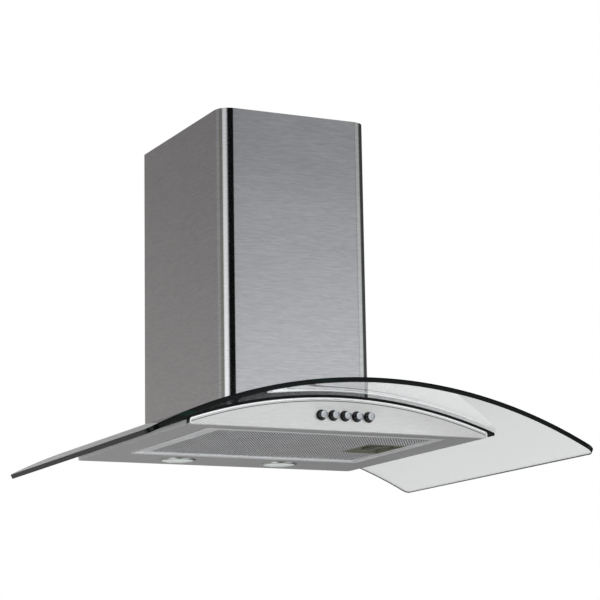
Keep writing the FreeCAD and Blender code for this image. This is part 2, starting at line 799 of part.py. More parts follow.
def grease_filter():
    """Aluminium cassette: a folded frame round two meshes and a core."""
    width = "filter_left + filter_right"
    depth = "filter_front - filter_back"
    outside = block("frame_outside", "-filter_left", "-filter_front", "filter_level", width, depth,
                    "filter_height")
    hollow = block("frame_hollow", "-filter_left + filter_skin", "-filter_front + filter_skin",
                   "filter_level + filter_skin", width + " - 2 * filter_skin", depth + " - 2 * filter_skin",
                   "filter_height - 2 * filter_skin")
    window = block("frame_window", "-filter_left + frame_left", "-filter_front + frame_front",
                   "filter_level - past", width + " - frame_left - frame_right",
                   depth + " - frame_front - frame_back", "filter_height + 2 * past")
    slot = tongue_slot("frame_slot", "filter_right - frame_right - past", "frame_right + 2 * past")
    frame = without("frame_folded", outside, [joined("frame_space", [hollow, window, slot])])
    pins = []
    reach = "filter_gap + lip_wall"
    for name, start in (("front", "-filter_front"), ("back", "-filter_back + " + reach)):
        pins.append(rod("filter_pin_" + name, "pin_radius", reach, "-filter_left + pin_inset", start,
                        "filter_level + pin_inset", FORWARD))
    piece(joined("filter_frame", [frame] + pins), "filter_frame")
    filter_mesh("filter_outer_mesh", "filter_level + filter_skin")
    filter_core()
    filter_mesh("filter_inner_mesh", "filter_top - 2 * filter_skin")


def latch():
    """Plastic cup in the filter's free edge and the sliding latch inside it."""
    shell = latch_cup_block("latch_cup_outside", "0", "filter_level", "filter_height - filter_skin")
    hollow = latch_cup_block("latch_cup_inside", "latch_cup_wall", "filter_level - past",
                             "filter_height - filter_skin - latch_cup_wall + past")
    slot = tongue_slot("cup_slot", "cup_right - latch_cup_wall - past", "latch_cup_wall + 2 * past")
    piece(without("latch_cup", shell, [hollow, slot]), "latch_cup")
    ceiling = "filter_top - filter_skin - latch_cup_wall - running_gap"
    grip_left = "cup_right - latch_cup_wall - latch_setback - latch_block_width"
    grip = block("latch_grip", grip_left, "-filter_middle - latch_block_length / 2",
                 "filter_level + latch_inset", "latch_block_width", "latch_block_length",
                 ceiling + " - filter_level - latch_inset")
    pull = block("latch_pull", grip_left + " + latch_rim",
                 "-filter_middle - latch_block_length / 2 + latch_rim", "filter_level",
                 "latch_block_width - 3 * latch_rim", "latch_block_length - 2 * latch_rim", "latch_rim")
    tongue = block("latch_tongue", "cup_right - latch_cup_wall - latch_setback - tongue_root",
                   "-filter_middle - tongue_width / 2", "latch_level - tongue_height / 2",
                   "tongue_root + latch_setback + latch_cup_wall + frame_right + filter_gap - running_gap",
                   "tongue_width", "tongue_height")
    body = joined("filter_latch", [without("latch_grip_hollow", grip, [pull]), tongue])
    piece(body, "filter_latch")


def lamps():
    """Two recessed lamps: ring, domed lens, reflector cup and bulb."""
    for name, side in SIDES:
        place = "opening_middle + %s * lamp_pitch / 2" % side
        ring = turned("lamp_ring_" + name, [
            ("lamp_lens_radius + running_gap", "-lip_drop * 2"),
            ("lamp_ring_radius - lamp_ring_bevel", "-lip_drop * 2"),
            ("lamp_ring_radius", "-lip_drop"),
            ("lamp_ring_radius", "0"),
            ("lamp_hole_radius", "0"),
            ("lamp_hole_radius", "lamp_ring_height"),
            ("lamp_lens_radius + running_gap", "lamp_ring_height"),
        ], place, "-lamp_from_wall")
        piece(ring, "lamp_ring_" + name)
        ball = doc.addObject("Part::Sphere", "lens_ball_" + name)
        bind(ball, "Radius", "lamp_lens_ball")
        put(ball, place, "-lamp_from_wall", "lamp_lens_ball - lamp_lens_drop")
        disc = rod("lens_disc_" + name, "lamp_lens_radius", "lamp_lens_drop + lamp_lens_top", place,
                   "-lamp_from_wall", "-lamp_lens_drop")
        piece(shared("lamp_lens_" + name, [ball, disc]), "lamp_lens_" + name)
        cup = turned("lamp_cup_" + name, [
            ("lamp_lens_radius - lamp_cup_sheet", "lamp_lens_top"),
            ("lamp_lens_radius + running_gap", "lamp_lens_top"),
            ("lamp_lens_radius + running_gap", "lamp_ring_height"),
            ("lamp_cup_neck", "lamp_cup_height"),
            ("lamp_socket_radius", "lamp_cup_height"),
            ("lamp_socket_radius", "lamp_cup_height - lamp_cup_sheet"),
            ("lamp_cup_neck - lamp_cup_sheet / 2", "lamp_cup_height - lamp_cup_sheet"),
            ("lamp_lens_radius - lamp_cup_sheet", "lamp_ring_height - running_gap"),
        ], place, "-lamp_from_wall")
        piece(cup, "lamp_cup_" + name)
        bulb = turned("lamp_bulb_" + name, [
            ("0", "lamp_ring_height"),
            ("bulb_tip_radius", "lamp_ring_height + bulb_tip"),
            ("bulb_radius", "lamp_ring_height + bulb_shoulder"),
            ("bulb_radius", "lamp_cup_height - bulb_shoulder"),
            ("lamp_socket_radius - running_gap", "lamp_cup_height - bulb_base"),
            ("lamp_socket_radius - running_gap", "lamp_cup_height + bulb_base"),
            ("0", "lamp_cup_height + bulb_base"),
        ], place, "-lamp_from_wall")
        piece(bulb, "lamp_bulb_" + name)
    driver = block("lamp_driver", "opening_middle - driver_width / 2", "-lamp_from_wall - driver_depth / 2",
                   "sheet", "driver_width", "driver_depth", "driver_height")
    piece(driver, "lamp_driver")


def chimney_skin(label, half, front, back, corner, floor, top):
    """A folded cover with two rounded front corners, open at the back between two flanges."""
    near_front = -size("chimney_depth") / 2

    def at_front(edge):
        return edge.CenterOfMass.y < near_front

    height = "%s - %s" % (top, floor)
    outer = rounded_block(label + "_outside", "-" + half, half, front, back, corner, floor, height, at_front)
    inner = rounded_block(label + "_inside", "-%s + chimney_sheet" % half, "%s - chimney_sheet" % half,
                          front + " - chimney_sheet", back + " + chimney_sheet",
                          corner + " - chimney_sheet", floor + " - past", height + " + 2 * past", at_front)
    gap = block(label + "_back", "-%s + chimney_flange" % half, "-%s - chimney_sheet - past" % back,
                floor + " - past", "2 * (%s - chimney_flange)" % half, "chimney_sheet + 2 * past",
                height + " + 2 * past")
    return without(label + "_skin", outer, [joined(label + "_space", [inner, gap])])


def chimney():
    """Outer cover that stands on the glass, the sliding cover inside it and its wall bracket."""
    lower = chimney_skin("lower", "chimney_half", "chimney_depth", "0", "chimney_corner", "cover_foot",
                         "chimney_top")
    canopy = rod("canopy_round", "glass_radius", "glass_depth", "0", "past", "arc_centre", FORWARD)
    piece(without("chimney_cover", lower, [canopy]), "chimney_cover")
    upper = chimney_skin("upper", "upper_half", "upper_front", "upper_back",
                         "chimney_corner - chimney_sheet - chimney_gap", "upper_foot",
                         "chimney_top - chimney_sheet")
    piece(upper, "chimney_extension")
    low = "chimney_top - chimney_sheet - bracket_drop - bracket_height"
    strap = block("strap", "-upper_half + chimney_sheet", "-upper_back - chimney_sheet - bracket_sheet", low,
                  "2 * (upper_half - chimney_sheet)", "bracket_sheet", "bracket_height")
    arms = []
    for name, start in (("left", "-upper_half + chimney_sheet"),
                        ("right", "upper_half - chimney_sheet - bracket_sheet")):
        arms.append(block("strap_arm_" + name, start, "-bracket_arm", low, "bracket_sheet",
                          "bracket_arm - upper_back - chimney_sheet", "bracket_height"))
    holes = []
    for name, side in SIDES:
        holes.append(rod("strap_hole_" + name, "bracket_hole_radius", "bracket_arm",
                         "%s * bracket_hole_pitch / 2" % side, "0", low + " + bracket_height / 2", FORWARD))
    piece(without("wall_bracket", joined("strap_bent", [strap] + arms), holes), "wall_bracket")


def screw(name, x, y, z, turn):
    """A pan-head screw whose head sits on the surface at the given point."""
    return turned(name, [
        ("0", "-screw_length"),
        ("screw_radius", "-screw_length"),
        ("screw_radius", "0"),
        ("screw_head_radius", "0"),
        ("screw_head_radius", "screw_head_height / 2"),
        ("screw_head_radius - screw_head_bevel", "screw_head_height"),
        ("0", "screw_head_height"),
    ], x, y, z, turn)


def screw_hole(name, x, y, z, turn):
    """The hole for such a screw, starting outside the sheet and going in."""
    return turned(name, [
        ("0", "-screw_length - past"),
        ("screw_radius + screw_fit", "-screw_length - past"),
        ("screw_radius + screw_fit", "2 * past"),
        ("0", "2 * past"),
    ], x, y, z, turn)


def blower_box():
    """Steel box over the glass with its service cover, clamps and screws."""
    width = "2 * box_half"
    depth = "box_front - box_back"
    outside = block("box_outside", "-box_half", "-box_front", "box_foot", width, depth, "box_top - box_foot")
    hollow = block("box_hollow", "-box_half + sheet", "-box_front + sheet", "0",
                   width + " - 2 * sheet", depth + " - 2 * sheet", "box_top - sheet")
    service = block("service_window", "-box_half + box_frame", "-box_front - past", "box_sill",
                    width + " - 2 * box_frame", "sheet + 2 * past", "box_top - box_sill - box_frame")
    outlet_hole = rod("box_outlet", "spigot_inside", "sheet + 2 * past", "0", "-spigot_from_wall",
                      "box_top - sheet - past")
    base = rod("plate_round", "seal_under", "box_front + past", "0", "past", "arc_centre", FORWARD)
    cuts = [joined("box_space", [hollow, service, outlet_hole]), base]
    for name, side in SIDES:
        across = "%s * keyhole_pitch / 2" % side
        cuts.append(rod("keyhole_" + name, "keyhole_radius", "sheet + 2 * past", across,
                        "-box_back + past", "keyhole_level", FORWARD))
        cuts.append(block("keyhole_slot_" + name, across + " - keyhole_slot", "-box_back - sheet - past",
                          "keyhole_level", "2 * keyhole_slot", "sheet + 2 * past", "keyhole_rise"))
    cover_places = []
    for side in SIGNS:
        for level in ("box_sill - box_frame / 2", "box_top - box_frame / 2"):
            cover_places.append(("%s * (box_half - box_frame / 2)" % side, level))
    screws = []
    cover_holes = []
    for number, (across, level) in enumerate(cover_places, 1):
        screws.append(screw("cover_screw_%d" % number, across, "-box_front - sheet", level, FORWARD))
        cover_holes.append(screw_hole("cover_hole_%d" % number, across, "-box_front - sheet", level, FORWARD))
    clamp_holes = {"left": [], "right": []}
    for name, side in SIDES:
        turn = FreeCAD.Rotation(FreeCAD.Vector(0, 1, 0), 90 * int(side))
        for number, along in enumerate(SIGNS, 1):
            x = "%s * (box_half + clamp_sheet)" % side
            y = "-(box_front + box_back) / 2 + %s * clamp_length / 3" % along
            z = "clamp_level + clamp_height / 2 + clamp_sheet"
            screws.append(screw("clamp_screw_%s_%d" % (name, number), x, y, z, turn))
            clamp_holes[name].append(screw_hole("clamp_hole_%s_%d" % (name, number), x, y, z, turn))
    piece(group("case_screws", screws), "case_screws")
    box_tools = cuts + cover_holes + clamp_holes["left"] + clamp_holes["right"]
    piece(without("blower_box", outside, box_tools), "blower_box")
    cover = block("cover_plate", "-box_half", "-box_front - sheet", "box_sill - box_frame", width,
                  "sheet", "box_top - box_sill + box_frame")
    piece(without("blower_cover", cover, cover_holes), "blower_cover")
    clamps(clamp_holes)


def clamps(holes):
    """Angle strips on the box sides that hold the glass down through rubber pads."""
    pads = []
    middle = "-(box_front + box_back) / 2 - clamp_length / 2"
    for name, side in SIDES:
        leg_x = "box_half" if side == "1" else "-box_half - clamp_sheet"
        foot_x = "box_half" if side == "1" else "-box_half - clamp_reach"
        pad_x = "box_half + cutout_gap" if side == "1" else "-box_half - clamp_reach"
        leg = block("clamp_leg_" + name, leg_x, middle, "clamp_level", "clamp_sheet", "clamp_length",
                    "clamp_height")
        foot = block("clamp_foot_" + name, foot_x, middle, "clamp_level", "clamp_reach", "clamp_length",
                     "clamp_sheet")
        label = "glass_clamp_" + name
        piece(without(label, joined("clamp_angle_" + name, [leg, foot]), holes[name]), label)
        cushion = block("clamp_cushion_" + name, pad_x, middle, "clamp_level - clamp_pad_depth",
                        "clamp_reach - cutout_gap", "clamp_length", "clamp_pad_depth")
        crown = rod("clamp_round_" + name, "glass_radius", "glass_depth", "0", "past", "arc_centre", FORWARD)
        pads.append(without("clamp_pad_" + name, cushion, [crown]))
    piece(group("clamp_pads", pads), "clamp_pads")


def scroll():
    """Plastic scroll housing in two halves, with a round inlet on each side."""
    fan_y = "-fan_from_wall"
    for name, side in SIDES:
        start = "0" if side == "1" else "-scroll_half"
        inner_start = "-past" if side == "1" else "-scroll_half + scroll_wall"
        inner_length = "scroll_half - scroll_wall + past"
        drum = rod("scroll_drum_" + name, "scroll_radius", "scroll_half", start, fan_y, "fan_level", SIDEWAYS)
        duct = block("scroll_duct_" + name, start, "-duct_front", "fan_level", "scroll_half",
                     "scroll_outlet", "box_top - sheet - fan_level")
        drum_room = rod("scroll_drum_room_" + name, "scroll_radius - scroll_wall", inner_length,
                        inner_start, fan_y, "fan_level", SIDEWAYS)
        duct_room = block("scroll_duct_room_" + name, inner_start, "-duct_front + scroll_wall", "fan_level",
                          inner_length, "scroll_outlet - 2 * scroll_wall", "box_top - fan_level")
        inlet = rod("scroll_inlet_" + name, "inlet_radius", "2 * scroll_half + 2 * past",
                    "-scroll_half - past", fan_y, "fan_level", SIDEWAYS)
        full = joined("scroll_full_" + name, [drum, duct])
        label = "scroll_" + name
        piece(without(label, full, [joined("scroll_room_" + name, [drum_room, duct_room, inlet])]), label)


def blade_hoop(wheel, name, level):
    """One of the two hoops that hold the blades together at their ends."""
    hoop = new_sketch(wheel, "wheel_hoop_" + name, "XZ_Plane")
    rectangle(hoop, "wheel_inner_radius + hoop_lap", "wheel_radius", level, level + " + wheel_plate")
    revolve(wheel, hoop)


def motor_and_wheel():
    """Motor in the left inlet, its bracket, the shaft, the hub disc and the ring of fan blades."""
    fan_y = "-fan_from_wall"
    motor = turned("fan_motor", [
        ("0", "-motor_front"),
        ("motor_radius - motor_bevel", "-motor_front"),
        ("motor_radius", "-motor_front + motor_bevel"),
        ("motor_radius", "-motor_end - motor_bevel"),
        ("motor_radius - motor_bevel", "-motor_end"),
        ("shaft_radius + shaft_fit", "-motor_end"),
        ("shaft_radius + shaft_fit", "-motor_end - shaft_inside - running_gap"),
        ("0", "-motor_end - shaft_inside - running_gap"),
    ], "0", fan_y, "fan_level", SIDEWAYS)
    piece(motor, "fan_motor")

    ring = rod("bracket_disc", "motor_radius + bracket_ring", "bracket_plate",
               "-scroll_half - bracket_plate", fan_y, "fan_level", SIDEWAYS)
    parts = [ring]
    for number, angle in enumerate((90, 210, 330), 1):
        arm = block("bracket_arm_%d" % number, "0", "0", "0", "bracket_arm_reach", "bracket_arm_width",
                    "bracket_plate")
        turn = FreeCAD.Rotation(FreeCAD.Vector(1, 0, 0), angle) * FreeCAD.Rotation(
            FreeCAD.Vector(0, 1, 0), -90)
        arm.Placement = FreeCAD.Placement(FreeCAD.Vector(), turn)
        sideways = turn.multVec(FreeCAD.Vector(0, 1, 0))
        bind(arm, ".Placement.Base.x", "-scroll_half")
        bind(arm, ".Placement.Base.y", "-fan_from_wall - (%.6f) * bracket_arm_width / 2" % sideways.y)
        bind(arm, ".Placement.Base.z", "fan_level - (%.6f) * bracket_arm_width / 2" % sideways.z)
        parts.append(arm)
    bore = rod("bracket_bore", "motor_radius + shaft_fit", "bracket_plate + 2 * past",
               "-scroll_half - bracket_plate - past", fan_y, "fan_level", SIDEWAYS)
    piece(without("motor_bracket", joined("bracket_star", parts), [bore]), "motor_bracket")

    shaft = rod("fan_shaft", "shaft_radius", "motor_end + shaft_inside + hub_height + shaft_end",
                "-motor_end - shaft_inside", fan_y, "fan_level", SIDEWAYS)
    piece(shaft, "fan_shaft")

    hub = turned("fan_hub", [
        ("shaft_radius", "0"),
        ("wheel_inner_radius", "0"),
        ("wheel_inner_radius", "wheel_plate"),
        ("hub_radius", "wheel_plate"),
        ("hub_radius", "hub_height"),
        ("shaft_radius", "hub_height"),
    ], "0", fan_y, "fan_level", SIDEWAYS)
    piece(hub, "fan_hub")

    wheel = new_body("fan_wheel")
    blade_hoop(wheel, "near", "-wheel_width / 2")
    blade = new_sketch(wheel, "wheel_blade", "XY_Plane", "-wheel_width / 2")
    outline(blade, [
        ("wheel_inner_radius", "0"),
        ("wheel_radius - blade_inset", "blade_lean"),
        ("wheel_radius - blade_inset", "blade_lean + blade_thickness"),
        ("wheel_inner_radius", "blade_thickness"),
    ])
    vane = pad(wheel, blade, "wheel_width")
    turns = wheel.newObject("PartDesign::PolarPattern", "wheel_blades")
    turns.Originals = [vane]
    turns.Axis = (blade, ["N_Axis"])
    turns.Angle = 360
    bind(turns, "Occurrences", "blade_count")
    wheel.Tip = turns
    blade_hoop(wheel, "far", "wheel_width / 2 - wheel_plate")
    put(wheel, "0", fan_y, "fan_level", SIDEWAYS)
    piece(wheel, "fan_wheel")


def outlet():
    """Duct spigot on the box with two non-return flaps on wire pins."""
    tube = turned("spigot_tube", [
        ("spigot_inside", "0"),
        ("spigot_flange", "0"),
        ("spigot_flange", "flange_height"),
        ("spigot_radius", "flange_height"),
        ("spigot_radius", "spigot_height"),
        ("spigot_inside", "spigot_height"),
        ("spigot_inside", "seat_top"),
        ("spigot_inside - seat_width", "seat_top"),
        ("spigot_inside - seat_width", "seat_top - seat_height"),
        ("spigot_inside", "seat_top - seat_height"),
    ], "0", "-spigot_from_wall", "box_top")
    pins = []
    holes = []
    for name, side in SIDES:
        across = "%s * flap_offset" % side
        start = "-spigot_from_wall + spigot_radius"
        pins.append(rod("flap_pin_" + name, "flap_pin_radius", "2 * spigot_radius", across, start,
                        "flap_pin_level", FORWARD))
        holes.append(rod("flap_pin_hole_" + name, "flap_pin_radius", "2 * spigot_radius + 2 * past",
                         across, start + " + past", "flap_pin_level", FORWARD))
        disc = rod("flap_disc_" + name, "spigot_inside - flap_clearance", "flap_thickness", "0",
                   "-spigot_from_wall", "flap_pin_level - flap_thickness / 2")
        half_x = "flap_offset" if side == "1" else "-flap_offset - spigot_radius"
        half = block("flap_half_" + name, half_x, "-spigot_from_wall - spigot_radius",
                     "flap_pin_level - flap_thickness", "spigot_radius", "2 * spigot_radius",
                     "2 * flap_thickness")
        barrel = rod("flap_barrel_" + name, "flap_pin_radius + shaft_fit + flap_barrel_wall",
                     "2 * (spigot_inside - flap_barrel_inset)", across,
                     "-spigot_from_wall + spigot_inside - flap_barrel_inset", "flap_pin_level", FORWARD)
        bore = rod("flap_bore_" + name, "flap_pin_radius + shaft_fit", "2 * spigot_radius", across, start,
                   "flap_pin_level", FORWARD)
        leaf = joined("flap_leaf_" + name, [shared("flap_plate_" + name, [disc, half]), barrel])
        label = "outlet_flap_" + name
        piece(without(label, leaf, [bore]), label)
    piece(without("outlet_spigot", tube, holes), "outlet_spigot")
    piece(group("flap_pins", pins), "flap_pins")


def electrics():
    """Run capacitor, terminal box and the cable gland on its lid."""
    can = turned("motor_capacitor", [
        ("0", "0"),
        ("capacitor_radius", "0"),
        ("capacitor_radius", "capacitor_height - capacitor_bevel"),
        ("capacitor_radius - capacitor_bevel", "capacitor_height"),
        ("0", "capacitor_height"),
    ], "-electrics_offset", "-electrics_from_wall", "box_top")
    piece(can, "motor_capacitor")
    shell = block("terminal_shell", "electrics_offset - terminal_width / 2",
                  "-electrics_from_wall - terminal_depth / 2", "box_top", "terminal_width", "terminal_depth",
                  "terminal_height")
    room = block("terminal_room", "electrics_offset - terminal_width / 2 + terminal_wall",
                 "-electrics_from_wall - terminal_depth / 2 + terminal_wall", "box_top + terminal_wall",
                 "terminal_width - 2 * terminal_wall", "terminal_depth - 2 * terminal_wall",
                 "terminal_height - 2 * terminal_wall")
    entry = rod("terminal_entry", "gland_bore + gland_wall", "terminal_wall + 2 * past",
                "electrics_offset", "-electrics_from_wall",
                "box_top + terminal_height - terminal_wall - past")
    piece(without("terminal_box", shell, [room, entry]), "terminal_box")
    gland = turned("cable_gland", [
        ("gland_bore", "-terminal_wall"),
        ("gland_bore + gland_wall", "-terminal_wall"),
        ("gland_bore + gland_wall", "0"),
        ("gland_radius", "0"),
        ("gland_radius", "gland_reach / 2"),
        ("gland_radius - gland_step", "gland_reach / 2"),
        ("gland_radius - gland_step", "gland_reach"),
        ("gland_bore", "gland_reach"),
    ], "electrics_offset", "-electrics_from_wall", "box_top + terminal_height")
    piece(gland, "cable_gland")


def check_all():
    """Stop if any object failed or any piece is empty or broken."""
    doc.recompute()
    for item in doc.Objects:
        if "Invalid" in item.State or "Error" in item.State:
            raise RuntimeError("%s failed: %s" % (item.Name, item.State))
    for item in pieces:
        if item.Shape.isNull() or not item.Shape.isValid() or item.Shape.Volume < 1:
            raise RuntimeError("%s has no good solid" % item.Label)


def write_files():
    os.makedirs("parts", exist_ok=True)
    for item in pieces:
        item.Shape.exportStep(os.path.join("parts", item.Label + ".step"))
        print("%-20s solids %2d volume %10.0f" % (item.Label, len(item.Shape.Solids), item.Shape.Volume))


fill_sheet()
glass_canopy()
glass_seal()
cutout_seal()
top_plate()
casing()
front_panel()
buttons()
filter_lip()
grease_filter()
latch()
lamps()
chimney()
blower_box()
scroll()
motor_and_wheel()
outlet()
electrics()
check_all()
write_files()
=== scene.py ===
import math

import bmesh
import bpy
from mathutils import Matrix, Vector

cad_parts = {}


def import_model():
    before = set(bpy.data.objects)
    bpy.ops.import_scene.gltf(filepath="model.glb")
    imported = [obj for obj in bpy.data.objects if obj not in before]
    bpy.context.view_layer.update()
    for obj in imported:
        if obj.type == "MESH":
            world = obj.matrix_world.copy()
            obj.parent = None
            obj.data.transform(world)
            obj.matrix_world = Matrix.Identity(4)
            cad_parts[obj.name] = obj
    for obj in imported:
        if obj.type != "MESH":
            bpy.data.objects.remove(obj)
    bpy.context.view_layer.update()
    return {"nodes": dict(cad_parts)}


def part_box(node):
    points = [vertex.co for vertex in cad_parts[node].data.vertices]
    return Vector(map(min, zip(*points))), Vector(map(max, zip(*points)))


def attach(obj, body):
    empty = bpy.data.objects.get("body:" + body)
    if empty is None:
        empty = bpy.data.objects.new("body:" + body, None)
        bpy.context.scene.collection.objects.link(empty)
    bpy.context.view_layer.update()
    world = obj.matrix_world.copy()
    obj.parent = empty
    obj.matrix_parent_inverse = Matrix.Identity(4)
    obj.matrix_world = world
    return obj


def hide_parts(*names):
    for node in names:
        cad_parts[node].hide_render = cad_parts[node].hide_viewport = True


# Curved glass range hood: the looks of every piece. Metres, x to the right, y towards the wall,
# z up, with the origin on the wall at the level of the steel underside.

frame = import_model()
NODES = frame["nodes"]
MM = 0.001
UP = Vector((0, 0, 1))

# ---------------------------------------------------------------- real sizes
GLASS_RADIUS = 648.5 * MM
GLASS_THICKNESS = 6 * MM
GLASS_FRONT_CORNER = 14 * MM
GLASS_BACK_CORNER = 8 * MM
GLASS_EDGE_ROUND = 0.7 * MM
BEND_STEP = 9 * MM
CHIMNEY_SHEET = 1 * MM
CHIMNEY_FLANGE = 12 * MM
CHIMNEY_CORNER = 19.5 * MM
CHIMNEY_STEP = 1.5 * MM
HAIR_ROUND = 0.12 * MM
BRACKET_ROUND = 0.2 * MM
THIN_ROUND = 0.25 * MM
FINE_ROUND = 0.3 * MM
PAN_ROUND = 0.35 * MM
MOULD_ROUND = 0.4 * MM
SEAL_ROUND = 0.5 * MM
BOX_ROUND = 0.6 * MM
RIM_ROUND = 0.7 * MM
EDGE_STEPS = 3
CORNER_STEPS = 8
FOLD_STEPS = 18
MERGE_WITHIN = 1e-6
CUT_WITHIN = 1e-7
BARREL_STEM = 2 * MM
BARREL_LENGTH = 7 * MM
CAP_RIM = 0.5 * MM
CAP_SLOPE = 0.3 * MM
CAP_DISH = 0.2 * MM
CAP_MIDDLE = 0.12 * MM
RING_OUTER = 2.5 * MM
RING_INNER = 1.5 * MM
RING_SLOPE = 0.2 * MM
RING_DEEP = 0.45 * MM
LENS_RIM = 2 * MM
LENS_HOLLOW = 1.2 * MM
DOME_DEPTH = 4.2 * MM
DOME_SWEEP = 0.9
DOME_STEPS = 10
MESH_INSET = 0.4 * MM
STRAND_PITCH = 3.7 * MM
STRAND_WIDTH = 1.8 * MM
STRAND_THICKNESS = 0.2 * MM
STRAND_LEAN = 0.62
LIP_FLANGE = 4 * MM
LIP_FLUSH = 0.05 * MM
LIP_DEEPER = 1 * MM
RIM_NEAR = 2.5 * MM
RIM_LINE = 0.8 * MM
# A painted shade line on the panel just below its rim: how far in from the rim, how wide, and its dark
# colour.
RIM_SHADE_INSET = 2.2 * MM
RIM_SHADE_WIDTH = 1.3 * MM
PAINTED_RIM_SHADE = (0.07, 0.07, 0.075)
# Points of a barrel's rounded front edge: how far in from its side, and how far behind its front.
BARREL_EDGE = ((0, 0.6 * MM), (0.2 * MM, 0.15 * MM), (0.5 * MM, 0))
FLOOR_DROP = 3.4
FLOOR_HALF = 30.0
ROOM_GREY = (0.85, 0.85, 0.85, 1)

# ---------------------------------------------------------------- waves per metre (triples: in x, y, z)
FINE_GRAIN = (14, 14, 2600)
SHORT_GRAIN = (70, 70, 560)
CLOUD_GRAIN = (9, 9, 14)
EDGE_GLINT_WAVES = (9, 30, 60)
SMUDGE_WAVES = 22
DUST_WAVES = 60
SPECKLE_WAVES = 1900
CRYSTAL_WAVES = 170

# ---------------------------------------------------------------- relief of the finishes, in metres
POLISH_GRIT = 0.00001
SATIN_GRIT = 0.00002
ROUGH_GRIT = 0.00003
MOULD_GRIT = 0.00008

# How much of a face's normal has to lie along an axis: to face along it, to lie flat, and to look
# upwards at all.
FACING = 0.9
FLAT = 0.999
LOOKS_UP = 0.2

# Angles in degrees: faces within the first are merged, edges past the second are rounded and kept
# sharp, and the canopy's sheet is rounded only past the third. The strands have their own limit.
SAME_PLANE = 0.4
SHARP = 35.0
SHEET_SHARP = 60
STRAND_SHARP = 20

# The shader counts the brushing's direction in whole turns.
QUARTER_TURN = 0.25


def box_of(node):
    """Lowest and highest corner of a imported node, and its middle."""
    low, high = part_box(node)
    return low, high, (low + high) / 2


ARC_CENTRE = box_of("glass_canopy")[1].z - GLASS_RADIUS
PANEL_RADIUS = box_of("control_panel")[1].z - ARC_CENTRE


# ---------------------------------------------------------------- shader groups
def new_group(name, inputs, outputs):
    """A shader node group with named inputs (name, kind, default) and outputs (name, kind)."""
    group = bpy.data.node_groups.new(name, "ShaderNodeTree")
    for label, kind, default in inputs:
        socket = group.interface.new_socket(label, in_out="INPUT", socket_type=kind)
        if default is not None:
            socket.default_value = default
    for label, kind in outputs:
        group.interface.new_socket(label, in_out="OUTPUT", socket_type=kind)
    return group, group.nodes.new("NodeGroupInput"), group.nodes.new("NodeGroupOutput")


def math_node(tree, operation, first, second=None, clamp=False):
    node = tree.nodes.new("ShaderNodeMath")
    node.operation = operation
    node.use_clamp = clamp
    for index, value in enumerate((first, second)):
        if value is None:
            continue
        if isinstance(value, (int, float)):
            node.inputs[index].default_value = value
        else:
            tree.links.new(value, node.inputs[index])
    return node.outputs[0]


def noise(tree, vector, scale, detail, roughness):
    node = tree.nodes.new("ShaderNodeTexNoise")
    node.inputs["Scale"].default_value = scale
    node.inputs["Detail"].default_value = detail
    node.inputs["Roughness"].default_value = roughness
    tree.links.new(vector, node.inputs["Vector"])
    return node.outputs["Fac"]


def stretched(tree, vector, scale):
    """A copy of the coordinates, stretched by the three factors."""
    node = tree.nodes.new("ShaderNodeMapping")
    node.inputs["Scale"].default_value = scale
    tree.links.new(vector, node.inputs["Vector"])
    return node.outputs["Vector"]


def span(tree, value, low, high, start=0.0, end=1.0):
    """Map a value from one range to another, held at both ends."""
    node = tree.nodes.new("ShaderNodeMapRange")
    tree.links.new(value, node.inputs["Value"])
    for label, number in (("From Min", low), ("From Max", high), ("To Min", start), ("To Max", end)):
        node.inputs[label].default_value = number
    return node.outputs["Result"]


def tinted(tree, factor, dark, light):
    """Mix two colours by a factor that varies over the surface."""
    node = tree.nodes.new("ShaderNodeMix")
    node.data_type = "RGBA"
    node.inputs["A"].default_value = (*dark, 1)
    node.inputs["B"].default_value = (*light, 1)
    tree.links.new(factor, node.inputs["Factor"])
    return node.outputs["Result"]


def build_grain_group():
    """Brushing lines across the sheet: a mask of fine streaks, slow cloudiness and a height."""
    group, start, end = new_group(
        "brushed_grain",
        [("Vector", "NodeSocketVector", None)],
        [("Streaks", "NodeSocketFloat"), ("Clouds", "NodeSocketFloat"), ("Height", "NodeSocketFloat")],
    )
    fine = noise(group, stretched(group, start.outputs["Vector"], FINE_GRAIN), 1.0, 2.0, 0.6)
    short = noise(group, stretched(group, start.outputs["Vector"], SHORT_GRAIN), 1.0, 3.0, 0.6)
    both = math_node(group, "ADD", math_node(group, "MULTIPLY", fine, 0.35),
                     math_node(group, "MULTIPLY", short, 0.65))
    clouds = noise(group, stretched(group, start.outputs["Vector"], CLOUD_GRAIN), 1.0, 4.0, 0.6)
    group.links.new(span(group, both, 0.37, 0.63), end.inputs["Streaks"])
    group.links.new(clouds, end.inputs["Clouds"])
    group.links.new(both, end.inputs["Height"])
    return group


def build_wear_group():
    """Handling marks: smudges, a fine speckle, and settled dust on faces that look up."""
    group, start, end = new_group(
        "wear_marks",
        [("Vector", "NodeSocketVector", None), ("Scale", "NodeSocketFloat", 1.0)],
        [("Smudge", "NodeSocketFloat"), ("Dust", "NodeSocketFloat"), ("Speckle", "NodeSocketFloat")],
    )
    scaled = group.nodes.new("ShaderNodeVectorMath")
    scaled.operation = "SCALE"
    group.links.new(start.outputs["Vector"], scaled.inputs[0])
    group.links.new(start.outputs["Scale"], scaled.inputs["Scale"])
    vector = scaled.outputs["Vector"]
    smudge = span(group, noise(group, vector, SMUDGE_WAVES, 5.0, 0.62), 0.42, 0.68)
    speckle = noise(group, vector, SPECKLE_WAVES, 2.0, 0.6)
    geometry = group.nodes.new("ShaderNodeNewGeometry")
    parts = group.nodes.new("ShaderNodeSeparateXYZ")
    group.links.new(geometry.outputs["Normal"], parts.inputs[0])
    facing_up = span(group, parts.outputs["Z"], 0.6, 1.0)
    settled = span(group, noise(group, vector, DUST_WAVES, 6.0, 0.7), 0.35, 0.75)
    dust = math_node(group, "MULTIPLY", facing_up, settled)
    group.links.new(smudge, end.inputs["Smudge"])
    group.links.new(dust, end.inputs["Dust"])
    group.links.new(speckle, end.inputs["Speckle"])
    return group


